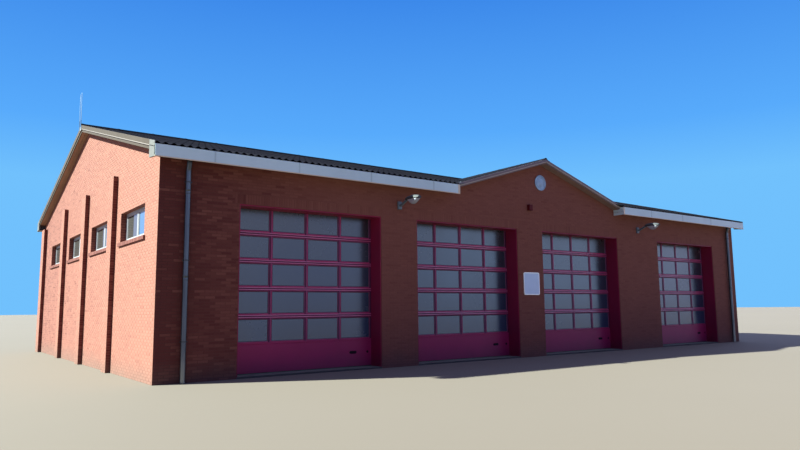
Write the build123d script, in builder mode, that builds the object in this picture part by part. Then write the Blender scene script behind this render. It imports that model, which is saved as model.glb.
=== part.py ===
from build123d import *
import os
from math import cos, radians, sin, tan

os.makedirs("parts", exist_ok=True)

# A one-storey brick fire station: one engine hall with four overhead doors in the long
# front, a low pitched roof of corrugated sheets, and a small gable over the middle doors.
# The origin is the middle of the footprint on the ground. X runs along the front, Y runs
# from the front to the rear, and Z is up. The ridge lies over y = 0. All in millimetres.

# Outline of the hall
side_depth = 15400
wall_thickness = 450
wall_plate_drop = 160
floor_height = 40

# Doorways and the brickwork between them, from the left corner of the front to the right
door_count = 4
door_width = 4000
door_height = 4000
left_corner_width = 1850
narrow_pier_width = 1200
sign_pier_width = 1150
wide_pier_width = 2500
right_corner_width = 1700

# Main roof
roof_pitch = 15.4
eave_height = 5060
eave_overhang = 420
verge_overhang = 240
sheet_depth = 60
ridge_cap_reach = 200
ridge_cap_thickness = 20

# Small gable over the front
cross_half_span = 3875
cross_pitch = 17.2
cross_overhang = 300

# Eaves and verges
fascia_height = 270
board_thickness = 25
upper_board_height = 110
bargeboard_height = 160
soffit_thickness = 20

# Window rows
window_width = 2160
window_height = 730
window_head = 4000
window_spacing = 3450
side_window_count = 4
side_window_start = 1020
rear_window_count = 6
window_reveal = 130
window_frame_depth = 70
window_frame_face = 60
window_mullion_face = 80
window_glass_thickness = 24
sill_height = 110
sill_projection = 50
sill_ear = 100
sill_fall = 25

# Brick pilasters between the windows
pilaster_width = 480
pilaster_projection = 120
pilaster_drop = 10
pilaster_gap = 460
corner_pilaster_width = 600

# Overhead doors, each of hinged sections that stand behind the wall
lining_thickness = 30
lining_setback = 20
leaf_setback = 20
leaf_thickness = 45
leaf_overlap = 50
section_count = 6
section_joint = 0.5
section_bevel = 6
tongue_width = 21
tongue_height = 9
tongue_taper = 4
seal_height = 18
seal_thickness = 32
rail_height = 62
end_stile_width = 130
mullion_width = 80
panes_per_section = 4
pane_thickness = 20
handle_edge_distance = 600
handle_centre = 415
handle_width = 230
handle_height = 64
handle_depth = 22
lock_edge_distance = 150
lock_diameter = 56

# Door gear inside the hall: rollers on hinges, bent tracks, and the spring shaft
hinge_width = 70
hinge_height = 110
hinge_thickness = 4
roller_width = 14
roller_height = 40
track_clearance = 12
track_depth = 36
track_width = 54
track_wall = 3
track_bend_radius = 380
track_bend_steps = 4
track_rise = 350
track_length = 4300
wall_angle_leg = 60
wall_angle_thickness = 5
track_beam_height = 100
track_beam_width = 60
track_beam_setback = 250
hanger_width = 40
hanger_thickness = 6
shaft_rise = 560
shaft_wall_distance = 160
shaft_diameter = 32
drum_diameter = 150
drum_length = 70
drum_sides = 8
spring_diameter = 95
spring_length = 900
bearing_plate_width = 90
bearing_plate_thickness = 8

# Roof trusses, one over each pier between two doors
truss_thickness = 90
truss_bearing = 300
bottom_chord_depth = 150
top_chord_depth = 180
web_depth = 90
truss_panels = 3
pocket_clearance = 5

# Downpipes
downpipe_diameter = 110
downpipe_corner_distance = 600
downpipe_wall_gap = 45
downpipe_foot = 10
downpipe_bend_drop = 290
downpipe_outlet_reach = 230
lower_clip_height = 900
upper_clip_drop = 410
clip_width = 40
clip_height = 30

# Wall lamps on bent arms
lamp_base_width = 130
lamp_base_depth = 60
lamp_base_height = 220
lamp_base_drop = 450
lamp_arm_thickness = 46
lamp_arm_start_reach = 120
lamp_arm_rise = 150
lamp_head_reach = 380
lamp_head_length = 540
lamp_head_width = 220
lamp_head_depth = 130

# Fittings on the front
alarm_box_width = 170
alarm_box_depth = 110
alarm_box_height = 190
alarm_box_drop = 350
alarm_box_chamfer = 15
sign_width = 730
sign_height = 750
sign_thickness = 25
sign_centre = 2275
sign_corner = 60
badge_diameter = 520
badge_thickness = 30
badge_rise = 520
antenna_height = 1220
antenna_rod_diameter = 16
antenna_rod_spacing = 80
antenna_base_height = 90
antenna_base_width = 130

# Values that follow from the driving dimensions
pier_widths = (narrow_pier_width, sign_pier_width, wide_pier_width)
front_length = left_corner_width + door_count * door_width + sum(pier_widths) + right_corner_width
wall_plate_height = eave_height - wall_plate_drop
left = -front_length / 2
right = front_length / 2
front = -side_depth / 2
rear = side_depth / 2
eave_line = side_depth / 2 + eave_overhang
verge_line = front_length / 2 + verge_overhang
roof_slope = tan(radians(roof_pitch))
cross_slope = tan(radians(cross_pitch))
soffit_level = eave_height - fascia_height
cross_front = front - cross_overhang
cross_ridge_end = cross_slope * cross_half_span / roof_slope - eave_line
leaf_front = front + wall_thickness + leaf_setback

# Doorways by their left edges, and the piers beside them from left to right
door_starts = []
pier_spans = []
pier_start = left + wall_thickness
door_start = left + left_corner_width
for pier_width in pier_widths + (right_corner_width,):
    door_starts.append(door_start)
    pier_spans.append((pier_start, door_start))
    pier_start = door_start + door_width
    door_start = pier_start + pier_width
pier_spans.append((pier_start, right - wall_thickness))
pier_centres = [(start + end) / 2 for start, end in pier_spans]

side_window_centres = []
for number in range(side_window_count):
    side_window_centres.append(front + side_window_start + window_width / 2 + number * window_spacing)
rear_window_centres = []
for number in range(rear_window_count):
    rear_window_centres.append((number - (rear_window_count - 1) / 2) * window_spacing)
window_centre_height = window_head - window_height / 2
window_foot = window_head - window_height


def at_x(x):
    """A plane across the building, with sketch axes Y and Z."""
    return Plane.YZ.offset(x)


def at_y(y):
    """A plane along the building, with sketch axes X and Z."""
    return Plane.XZ.offset(-y)


def at_z(z):
    """A level plane, with sketch axes X and Y."""
    return Plane.XY.offset(z)


def main_underside(y):
    """Height of the underside of the main roof's sheets."""
    return eave_height + roof_slope * (eave_line - abs(y))


def cross_underside(x):
    """Height of the underside of the small gable's sheets."""
    return eave_height + cross_slope * (cross_half_span - abs(x))


def save(piece, name):
    """Names a finished piece and writes it."""
    piece.part.label = name
    export_step(piece.part, f"parts/{name}.step")


def gable_band(reach, underside, upper, lower):
    """Outline of a band that follows both slopes, by its depths under the sheets."""
    return [
        (-reach, underside(reach) - upper),
        (0, underside(0) - upper),
        (reach, underside(reach) - upper),
        (reach, underside(reach) - lower),
        (0, underside(0) - lower),
        (-reach, underside(reach) - lower),
    ]


# Floor: a level slab between the walls, which runs out into each doorway
with BuildPart() as floor_slab:
    with BuildSketch(at_z(0)):
        Rectangle(front_length - 2 * wall_thickness, side_depth - 2 * wall_thickness)
        for start in door_starts:
            with Locations((start + door_width / 2, front + wall_thickness / 2)):
                Rectangle(door_width, wall_thickness)
    extrude(amount=floor_height)
save(floor_slab, "floor_slab")


# Brick piers beside the doorways
for number, (start, end) in enumerate(pier_spans, start=1):
    with BuildPart() as front_pier:
        with BuildSketch(at_z(0)):
            with Locations(((start + end) / 2, front + wall_thickness / 2)):
                Rectangle(end - start, wall_thickness)
        extrude(amount=door_height)
    save(front_pier, f"front_pier_{number}")


# Roof trusses: two chords and their webs, standing on the front and rear walls
truss_end = side_depth / 2 - wall_thickness + truss_bearing
truss_foot = wall_plate_height
truss_outline = [
    (-truss_end, truss_foot),
    (truss_end, truss_foot),
    (truss_end, main_underside(truss_end)),
    (0, main_underside(0)),
    (-truss_end, main_underside(truss_end)),
]
inner_foot = truss_foot + bottom_chord_depth
inner_reach = (main_underside(0) - top_chord_depth - inner_foot) / roof_slope
panel_length = truss_end / truss_panels


def roof_truss_part(x):
    """One truss, upright across the hall at the given place along the front."""
    with BuildPart() as truss:
        with BuildSketch(at_x(x - truss_thickness / 2)):
            Polygon(*truss_outline, align=None)
            Polygon((-inner_reach, inner_foot), (inner_reach, inner_foot),
                    (0, main_underside(0) - top_chord_depth), align=None, mode=Mode.SUBTRACT)
            with BuildLine(mode=Mode.PRIVATE) as webs:
                Line((0, truss_foot), (0, main_underside(0)))
                for side in (-1, 1):
                    for panel in range(1, truss_panels):
                        upright = side * panel * panel_length
                        inward = side * (panel - 1) * panel_length
                        Line((upright, truss_foot), (upright, main_underside(upright)))
                        Line((upright, inner_foot), (inward, main_underside(inward) - top_chord_depth))
            trace(webs.line, line_width=web_depth)
            Polygon(*truss_outline, align=None, mode=Mode.INTERSECT)
        extrude(amount=truss_thickness)
    return truss


truss_centres = pier_centres[1:-1]
for number, centre in enumerate(truss_centres, start=1):
    roof_truss = roof_truss_part(centre)
    save(roof_truss, f"roof_truss_{number}")


# Front wall over the doorways, which rises into the small gable
cross_wall_reach = cross_half_span + (eave_height - wall_plate_height) / cross_slope
with BuildPart() as front_wall_head:
    with BuildSketch(at_y(front)):
        Polygon(
            (left + wall_thickness, door_height),
            (right - wall_thickness, door_height),
            (right - wall_thickness, wall_plate_height),
            (cross_wall_reach, wall_plate_height),
            (0, cross_underside(0)),
            (-cross_wall_reach, wall_plate_height),
            (left + wall_thickness, wall_plate_height),
            align=None,
        )
    extrude(amount=-wall_thickness)
    # Pockets that the trusses stand in
    with BuildSketch(at_y(front + wall_thickness)):
        for centre in truss_centres:
            with Locations((centre, wall_plate_height)):
                Rectangle(truss_thickness + 2 * pocket_clearance, eave_height,
                          align=(Align.CENTER, Align.MIN))
    extrude(amount=truss_bearing, mode=Mode.SUBTRACT)
save(front_wall_head, "front_wall_head")


def sill_outline(outward):
    """Sloping sill in section: distance along the outward direction, and height."""
    inner = -outward * (window_reveal + window_frame_depth)
    return [
        (outward * sill_projection, window_foot - sill_height),
        (outward * sill_projection, window_foot - sill_fall),
        (-outward * window_reveal, window_foot),
        (inner, window_foot),
        (inner, window_foot - sill_height),
    ]


def shifted(points, offset):
    """The same outline, moved along its first axis."""
    return [(first + offset, second) for first, second in points]


# Gable walls, their pilasters and their window rows, left and right
for side_name, face, outward in (("left", left, -1), ("right", right, 1)):
    with BuildPart() as side_sills:
        for centre in side_window_centres:
            sill_start = centre + window_width / 2 + sill_ear
            with BuildSketch(at_y(sill_start)):
                Polygon(*shifted(sill_outline(outward), face), align=None)
            extrude(amount=window_width + 2 * sill_ear)
    save(side_sills, f"{side_name}_window_sills")

    with BuildPart() as gable_wall:
        with BuildSketch(at_x(face)):
            Polygon((front, 0), (rear, 0), (rear, main_underside(rear)), (0, main_underside(0)),
                    (front, main_underside(front)), align=None)
            with Locations(*[(centre, window_centre_height) for centre in side_window_centres]):
                Rectangle(window_width, window_height, mode=Mode.SUBTRACT)
        extrude(amount=-outward * wall_thickness)
        add(side_sills.part, mode=Mode.SUBTRACT)
    save(gable_wall, f"{side_name}_gable_wall")

    with BuildPart() as side_frames:
        with BuildSketch(at_x(face - outward * window_reveal)):
            with Locations(*[(centre, window_centre_height) for centre in side_window_centres]):
                Rectangle(window_width, window_height)
                Rectangle(window_width - 2 * window_frame_face, window_height - 2 * window_frame_face,
                          mode=Mode.SUBTRACT)
                Rectangle(window_mullion_face, window_height)
        extrude(amount=-outward * window_frame_depth)
    save(side_frames, f"{side_name}_window_frames")

    glass_face = face - outward * (window_reveal + (window_frame_depth - window_glass_thickness) / 2)
    with BuildPart() as side_glass:
        with BuildSketch(at_x(glass_face)):
            with Locations(*[(centre, window_centre_height) for centre in side_window_centres]):
                Rectangle(window_width - 2 * window_frame_face, window_height - 2 * window_frame_face)
                Rectangle(window_mullion_face, window_height, mode=Mode.SUBTRACT)
        extrude(amount=-outward * window_glass_thickness)
    save(side_glass, f"{side_name}_window_glass")

    with BuildPart() as side_pilasters:
        with BuildSketch(at_z(0)):
            for centre in side_window_centres[:-1]:
                with Locations((face + outward * pilaster_projection / 2,
                                centre + window_width / 2 + pilaster_gap + pilaster_width / 2)):
                    Rectangle(pilaster_projection, pilaster_width)
        extrude(amount=eave_height - pilaster_drop)
        with BuildSketch(at_z(0)):
            with Locations((face + outward * pilaster_projection / 2, rear - corner_pilaster_width / 2)):
                Rectangle(pilaster_projection, corner_pilaster_width)
        extrude(amount=soffit_level)
    save(side_pilasters, f"{side_name}_pilasters")


# Rear wall, its window row and its pilasters
with BuildPart() as rear_sills:
    for centre in rear_window_centres:
        sill_start = centre - window_width / 2 - sill_ear
        with BuildSketch(at_x(sill_start)):
            Polygon(*shifted(sill_outline(1), rear), align=None)
        extrude(amount=window_width + 2 * sill_ear)
save(rear_sills, "rear_window_sills")

with BuildPart() as rear_wall:
    with BuildSketch(at_y(rear)):
        with Locations((0, wall_plate_height / 2)):
            Rectangle(front_length - 2 * wall_thickness, wall_plate_height)
        with Locations(*[(centre, window_centre_height) for centre in rear_window_centres]):
            Rectangle(window_width, window_height, mode=Mode.SUBTRACT)
    extrude(amount=wall_thickness)
    add(rear_sills.part, mode=Mode.SUBTRACT)
save(rear_wall, "rear_wall")

with BuildPart() as rear_frames:
    with BuildSketch(at_y(rear - window_reveal)):
        with Locations(*[(centre, window_centre_height) for centre in rear_window_centres]):
            Rectangle(window_width, window_height)
            Rectangle(window_width - 2 * window_frame_face, window_height - 2 * window_frame_face,
                      mode=Mode.SUBTRACT)
            Rectangle(window_mullion_face, window_height)
    extrude(amount=window_frame_depth)
save(rear_frames, "rear_window_frames")

with BuildPart() as rear_glass:
    with BuildSketch(at_y(rear - window_reveal - (window_frame_depth - window_glass_thickness) / 2)):
        with Locations(*[(centre, window_centre_height) for centre in rear_window_centres]):
            Rectangle(window_width - 2 * window_frame_face, window_height - 2 * window_frame_face)
            Rectangle(window_mullion_face, window_height, mode=Mode.SUBTRACT)
    extrude(amount=window_glass_thickness)
save(rear_glass, "rear_window_glass")

with BuildPart() as rear_pilasters:
    with BuildSketch(at_z(0)):
        for centre in rear_window_centres[:-1]:
            with Locations((centre + window_spacing / 2, rear + pilaster_projection / 2)):
                Rectangle(pilaster_width, pilaster_projection)
    extrude(amount=soffit_level)
save(rear_pilasters, "rear_pilasters")


# Roof slopes: the front one has a notch in which the small gable's roof lies
with BuildPart() as front_roof_slope:
    with BuildSketch(at_x(-verge_line)):
        Polygon((-eave_line, eave_height), (0, main_underside(0)),
                (0, main_underside(0) + sheet_depth), (-eave_line, eave_height + sheet_depth), align=None)
    extrude(amount=2 * verge_line)
    with BuildSketch(at_z(eave_height - sheet_depth)):
        Polygon((-cross_half_span, -eave_line), (-cross_half_span, -eave_line - eave_overhang),
                (cross_half_span, -eave_line - eave_overhang), (cross_half_span, -eave_line),
                (0, cross_ridge_end), align=None)
    extrude(amount=main_underside(0), mode=Mode.SUBTRACT)
save(front_roof_slope, "front_roof_slope")

with BuildPart() as rear_roof_slope:
    with BuildSketch(at_x(-verge_line)):
        Polygon((eave_line, eave_height), (0, main_underside(0)),
                (0, main_underside(0) + sheet_depth), (eave_line, eave_height + sheet_depth), align=None)
    extrude(amount=2 * verge_line)
save(rear_roof_slope, "rear_roof_slope")

for side_name, outward in (("left", -1), ("right", 1)):
    with BuildPart() as cross_roof_slope:
        with BuildSketch(at_y(cross_front)):
            Polygon((outward * cross_half_span, eave_height), (0, cross_underside(0)),
                    (0, cross_underside(0) + sheet_depth),
                    (outward * cross_half_span, eave_height + sheet_depth), align=None)
        extrude(amount=cross_front - cross_ridge_end)
        with BuildSketch(at_z(eave_height - sheet_depth)):
            Polygon((0, -eave_line), (outward * cross_half_span, -eave_line),
                    (0, cross_ridge_end), align=None)
        extrude(amount=main_underside(0), mode=Mode.INTERSECT)
    save(cross_roof_slope, f"cross_roof_{side_name}")


# Ridge caps
def cap_outline(underside):
    """A folded sheet over a ridge, in section."""
    foot = underside(ridge_cap_reach) + sheet_depth
    crown = underside(0) + sheet_depth
    return [
        (-ridge_cap_reach, foot),
        (0, crown),
        (ridge_cap_reach, foot),
        (ridge_cap_reach, foot + ridge_cap_thickness),
        (0, crown + ridge_cap_thickness),
        (-ridge_cap_reach, foot + ridge_cap_thickness),
    ]


with BuildPart() as main_ridge_cap:
    with BuildSketch(at_x(-verge_line)):
        Polygon(*cap_outline(main_underside), align=None)
    extrude(amount=2 * verge_line)
save(main_ridge_cap, "main_ridge_cap")

with BuildPart() as cross_ridge_cap:
    with BuildSketch(at_y(cross_front)):
        Polygon(*cap_outline(cross_underside), align=None)
    extrude(amount=cross_front - cross_ridge_end)
    with BuildSketch(at_x(-ridge_cap_reach)):
        Polygon((-eave_line, eave_height + sheet_depth), (0, main_underside(0) + sheet_depth),
                (0, eave_height + sheet_depth), align=None)
    extrude(amount=2 * ridge_cap_reach, mode=Mode.SUBTRACT)
save(cross_ridge_cap, "cross_ridge_cap")


# Fascias: each is a board with its soffit behind it, closed at the small gable's feet
def eave_box(start, end, side, closed_ends):
    """Fascia and soffit from start to end along X, at the front (-1) or the rear (1)."""
    outer = side * eave_line
    inner = side * (eave_line - board_thickness)
    wall_face = side * side_depth / 2
    with BuildPart() as box:
        with BuildSketch(at_x(start)):
            Polygon((outer, soffit_level), (outer, eave_height), (inner, main_underside(inner)),
                    (inner, soffit_level), align=None)
        extrude(amount=end - start)
        soffit_start = max(start, 2 * board_thickness - verge_line)
        soffit_end = min(end, verge_line - 2 * board_thickness)
        with BuildSketch(at_x(soffit_start)):
            Polygon((inner, soffit_level), (inner, soffit_level + soffit_thickness),
                    (wall_face, soffit_level + soffit_thickness), (wall_face, soffit_level), align=None)
        extrude(amount=soffit_end - soffit_start)
        for closed_end in closed_ends:
            with BuildSketch(at_x(closed_end)):
                Polygon((inner, soffit_level), (inner, main_underside(inner)),
                        (wall_face, main_underside(wall_face)), (wall_face, soffit_level), align=None)
            extrude(amount=board_thickness if closed_end == start else -board_thickness)
    return box


front_fascia_left = eave_box(-verge_line, -cross_half_span, -1, [-cross_half_span])
save(front_fascia_left, "front_fascia_left")
front_fascia_right = eave_box(cross_half_span, verge_line, -1, [cross_half_span])
save(front_fascia_right, "front_fascia_right")
rear_fascia = eave_box(-verge_line, verge_line, 1, [])
save(rear_fascia, "rear_fascia")


# Bargeboards: an upper and a lower board on each gable, with the soffit up to the wall
barge_reach = eave_line - board_thickness
for side_name, outward in (("left", -1), ("right", 1)):
    with BuildPart() as bargeboards:
        with BuildSketch(at_x(outward * verge_line)):
            Polygon(*gable_band(barge_reach, main_underside, 0, upper_board_height), align=None)
        extrude(amount=-outward * board_thickness)
        with BuildSketch(at_x(outward * (verge_line - board_thickness))):
            Polygon(*gable_band(barge_reach, main_underside, 0, bargeboard_height), align=None)
        extrude(amount=-outward * board_thickness)
        # Deep end boards that close the eaves at both feet of the gable
        with BuildSketch(at_x(outward * verge_line)):
            for end in (-1, 1):
                Polygon((end * barge_reach, soffit_level), (end * side_depth / 2, soffit_level),
                        (end * side_depth / 2, main_underside(front)),
                        (end * barge_reach, main_underside(barge_reach)), align=None)
        extrude(amount=-outward * 2 * board_thickness)
        with BuildSketch(at_x(outward * (verge_line - 2 * board_thickness))):
            Polygon(*gable_band(side_depth / 2, main_underside, bargeboard_height - soffit_thickness,
                                bargeboard_height), align=None)
        extrude(amount=-outward * (verge_overhang - 2 * board_thickness))
    save(bargeboards, f"{side_name}_bargeboards")

with BuildPart() as cross_bargeboards:
    with BuildSketch(at_y(cross_front)):
        Polygon(*gable_band(cross_half_span, cross_underside, 0, upper_board_height), align=None)
    extrude(amount=-board_thickness)
    with BuildSketch(at_y(cross_front + board_thickness)):
        Polygon(*gable_band(cross_half_span, cross_underside, 0, bargeboard_height), align=None)
    extrude(amount=-board_thickness)
    with BuildSketch(at_y(cross_front + 2 * board_thickness)):
        Polygon(*gable_band(cross_half_span, cross_underside, bargeboard_height - soffit_thickness,
                            bargeboard_height), align=None)
    extrude(amount=-(cross_overhang - 2 * board_thickness))
save(cross_bargeboards, "cross_bargeboards")


# Overhead doors: the lining of the reveal, the hinged sections, their seals and panes
leaf_width = door_width + 2 * leaf_overlap
leaf_back = leaf_front + leaf_thickness
leaf_foot = floor_height + seal_height
leaf_top = door_height + leaf_overlap
section_height = (leaf_top - leaf_foot) / section_count
pane_height = section_height - 2 * rail_height
pane_width = (leaf_width - 2 * end_stile_width - (panes_per_section - 1) * mullion_width) / panes_per_section
pane_pitch = pane_width + mullion_width
door_centres = [start + door_width / 2 for start in door_starts]


def section_outline(foot, lowest):
    """A section across its thickness: a tongue on top, and a groove under all but the lowest."""
    top = foot + section_height - section_joint
    tongue_front = leaf_front + (leaf_thickness - tongue_width) / 2
    tongue_back = tongue_front + tongue_width
    groove = [
        (tongue_back, foot),
        (tongue_back - tongue_taper, foot + tongue_height),
        (tongue_front + tongue_taper, foot + tongue_height),
        (tongue_front, foot),
    ]
    return [
        (leaf_front, foot + section_bevel),
        (leaf_front, top - section_bevel),
        (leaf_front + section_bevel, top),
        (tongue_front, top),
        (tongue_front + tongue_taper, top + tongue_height),
        (tongue_back - tongue_taper, top + tongue_height),
        (tongue_back, top),
        (leaf_back, top),
        (leaf_back, foot),
        *([] if lowest else groove),
        (leaf_front + section_bevel, foot),
    ]


for number, centre in enumerate(door_centres, start=1):
    with BuildPart() as door_lining:
        with BuildSketch(at_y(front + lining_setback)):
            with Locations((centre, floor_height)):
                Rectangle(door_width, door_height - floor_height, align=(Align.CENTER, Align.MIN))
                Rectangle(door_width - 2 * lining_thickness, door_height - floor_height - lining_thickness,
                          align=(Align.CENTER, Align.MIN), mode=Mode.SUBTRACT)
        extrude(amount=-(leaf_front - front - lining_setback))
    save(door_lining, f"door_{number}_lining")

    with BuildPart() as door_sections:
        for level in range(section_count):
            foot = leaf_foot + level * section_height
            with BuildSketch(at_x(centre - leaf_width / 2)):
                Polygon(*section_outline(foot, level == 0), align=None)
            extrude(amount=leaf_width)
        with BuildSketch(at_y(leaf_front)):
            for level in range(1, section_count):
                with Locations((centre, leaf_foot + (level + 0.5) * section_height)):
                    with GridLocations(pane_pitch, 0, panes_per_section, 1):
                        Rectangle(pane_width, pane_height)
        extrude(amount=-leaf_thickness, mode=Mode.SUBTRACT)
        # Hand grip and lock, both sunk in the lowest section
        with BuildSketch(at_y(leaf_front)):
            with Locations((centre + leaf_width / 2 - leaf_overlap - handle_edge_distance, handle_centre)):
                SlotOverall(handle_width, handle_height)
            with Locations((centre + leaf_width / 2 - leaf_overlap - lock_edge_distance, handle_centre)):
                Circle(lock_diameter / 2)
        extrude(amount=-handle_depth, mode=Mode.SUBTRACT)
    save(door_sections, f"door_{number}_sections")

with BuildPart() as door_panes:
    with BuildSketch(at_y(leaf_front + (leaf_thickness - pane_thickness) / 2)):
        for centre in door_centres:
            for level in range(1, section_count):
                with Locations((centre, leaf_foot + (level + 0.5) * section_height)):
                    with GridLocations(pane_pitch, 0, panes_per_section, 1):
                        Rectangle(pane_width, pane_height)
    extrude(amount=-pane_thickness)
save(door_panes, "door_panes")

with BuildPart() as door_seals:
    with BuildSketch(at_z(floor_height)):
        for centre in door_centres:
            with Locations((centre, leaf_front + leaf_thickness / 2)):
                Rectangle(leaf_width, seal_thickness)
    extrude(amount=seal_height)
save(door_seals, "door_seals")


# Door tracks: a channel on each side of a door, which bends back under the roof
track_line = leaf_back + track_width / 2
track_level = leaf_top + track_rise
track_end = track_line + track_length
track_beam_place = track_end - track_beam_setback
track_beam_foot = wall_plate_height - track_beam_height
# The bend is rolled in short steps, so its line has a corner at each step
track_bend = []
for step in range(track_bend_steps + 1):
    turn = radians(90 * step / track_bend_steps)
    track_bend.append((track_line + track_bend_radius * (1 - cos(turn)),
                       track_level - track_bend_radius * (1 - sin(turn))))

with BuildPart() as door_tracks:
    for centre in door_centres:
        for outward in (-1, 1):
            mouth = centre + outward * (leaf_width / 2 + track_clearance)
            web = mouth + outward * track_depth
            with BuildLine(at_x(web)):
                Polyline((track_line, leaf_foot), *track_bend, (track_end, track_level))
            with BuildSketch(at_z(leaf_foot)):
                with Locations(((mouth + web) / 2, track_line)):
                    Rectangle(track_depth, track_width)
                with Locations(((mouth + web) / 2 - outward * track_wall, track_line)):
                    Rectangle(track_depth, track_width - 2 * track_wall, mode=Mode.SUBTRACT)
            sweep(transition=Transition.RIGHT)
            # Angle that fixes the upright part to the wall beside the doorway
            with BuildSketch(at_z(leaf_foot)):
                with Locations((web + outward * wall_angle_leg / 2, front + wall_thickness)):
                    Rectangle(wall_angle_leg, wall_angle_thickness, align=(Align.CENTER, Align.MIN))
                with Locations((web + outward * wall_angle_thickness / 2, front + wall_thickness)):
                    Rectangle(wall_angle_thickness, track_line - front - wall_thickness,
                              align=(Align.CENTER, Align.MIN))
            extrude(amount=leaf_top - leaf_foot)
            # Hanger from the beam to the level part
            with BuildSketch(at_z(track_level)):
                with Locations((web + outward * hanger_thickness / 2, track_beam_place)):
                    Rectangle(hanger_thickness, hanger_width)
            extrude(amount=track_beam_foot - track_level)
    # Beam from gable to gable under the trusses
    with BuildSketch(at_z(track_beam_foot)):
        with Locations((0, track_beam_place)):
            Rectangle(front_length - 2 * wall_thickness, track_beam_width)
    extrude(amount=track_beam_height)
save(door_tracks, "door_tracks")


# Hinges over the joints between sections, with rollers that run in the tracks
with BuildPart() as door_hinges:
    for centre in door_centres:
        for level in range(1, section_count):
            joint = leaf_foot + level * section_height
            edge = leaf_width / 2 - hinge_width / 2
            with BuildSketch(at_y(leaf_back)):
                with Locations((centre - edge, joint), (centre, joint), (centre + edge, joint)):
                    Rectangle(hinge_width, hinge_height)
            extrude(amount=-hinge_thickness)
            # Roller arms stand off the plates at both edges of the leaf
            for outward in (-1, 1):
                knuckle = centre + outward * edge
                roller = centre + outward * (leaf_width / 2 + track_clearance + track_depth / 2)
                with BuildSketch(at_z(joint - roller_height / 2)):
                    Polygon((knuckle, leaf_back), (knuckle + outward * hinge_width / 2, leaf_back),
                            (roller, track_line - roller_width / 2),
                            (roller, track_line + roller_width / 2),
                            (knuckle, track_line + roller_width / 2), align=None)
                extrude(amount=roller_height)
save(door_hinges, "door_hinges")


# Spring shafts over the doorways: bearing plates on the wall, two drums and two springs
shaft_line = front + wall_thickness + shaft_wall_distance
shaft_level = door_height + shaft_rise
with BuildPart() as door_spring_shafts:
    for centre in door_centres:
        half_shaft = door_width / 2 - bearing_plate_thickness
        with BuildSketch(at_x(centre - half_shaft)):
            with Locations((shaft_line, shaft_level)):
                RegularPolygon(shaft_diameter / 2, drum_sides)
        extrude(amount=2 * half_shaft)
        for side in (-1, 1):
            for start, length, diameter in (
                (half_shaft - drum_length - 2 * bearing_plate_thickness, drum_length, drum_diameter),
                (2 * bearing_plate_thickness, spring_length, spring_diameter),
            ):
                with BuildSketch(at_x(centre + side * start)):
                    with Locations((shaft_line, shaft_level)):
                        RegularPolygon(diameter / 2, drum_sides)
                extrude(amount=side * length)
        with BuildSketch(at_z(shaft_level - bearing_plate_width / 2)):
            with Locations((centre - half_shaft, front + wall_thickness), (centre, front + wall_thickness),
                           (centre + half_shaft, front + wall_thickness)):
                Rectangle(bearing_plate_thickness, shaft_wall_distance + shaft_diameter,
                          align=(Align.CENTER, Align.MIN))
        extrude(amount=bearing_plate_width)
save(door_spring_shafts, "door_spring_shafts")


# Downpipes, from the soffit down to the ground, with wall clips
def downpipe_part(places, side):
    """Downpipes at places along X, at the front (-1) or the rear (1)."""
    wall_face = side * side_depth / 2
    axis = wall_face + side * (downpipe_wall_gap + downpipe_diameter / 2)
    outlet = wall_face + side * downpipe_outlet_reach
    bend_level = soffit_level - downpipe_bend_drop
    with BuildPart() as pipes:
        for x in places:
            with BuildLine(at_x(x)):
                Polyline((axis, downpipe_foot), (axis, bend_level),
                         (outlet, soffit_level - downpipe_bend_drop / 3), (outlet, soffit_level))
            with BuildSketch(Plane(origin=(x, axis, downpipe_foot), z_dir=(0, 0, 1))):
                Circle(downpipe_diameter / 2)
            sweep(transition=Transition.RIGHT)
            for height in (lower_clip_height, soffit_level - upper_clip_drop):
                with BuildSketch(at_z(height - clip_height)):
                    with Locations((x, (wall_face + axis) / 2)):
                        Rectangle(clip_width, abs(axis - wall_face))
                extrude(amount=clip_height)
    return pipes


pipe_place = right - downpipe_corner_distance
front_downpipe_left = downpipe_part([-pipe_place], -1)
save(front_downpipe_left, "front_downpipe_left")
front_downpipe_right = downpipe_part([pipe_place], -1)
save(front_downpipe_right, "front_downpipe_right")
rear_downpipes = downpipe_part([-pipe_place, pipe_place], 1)
save(rear_downpipes, "rear_downpipes")


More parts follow.
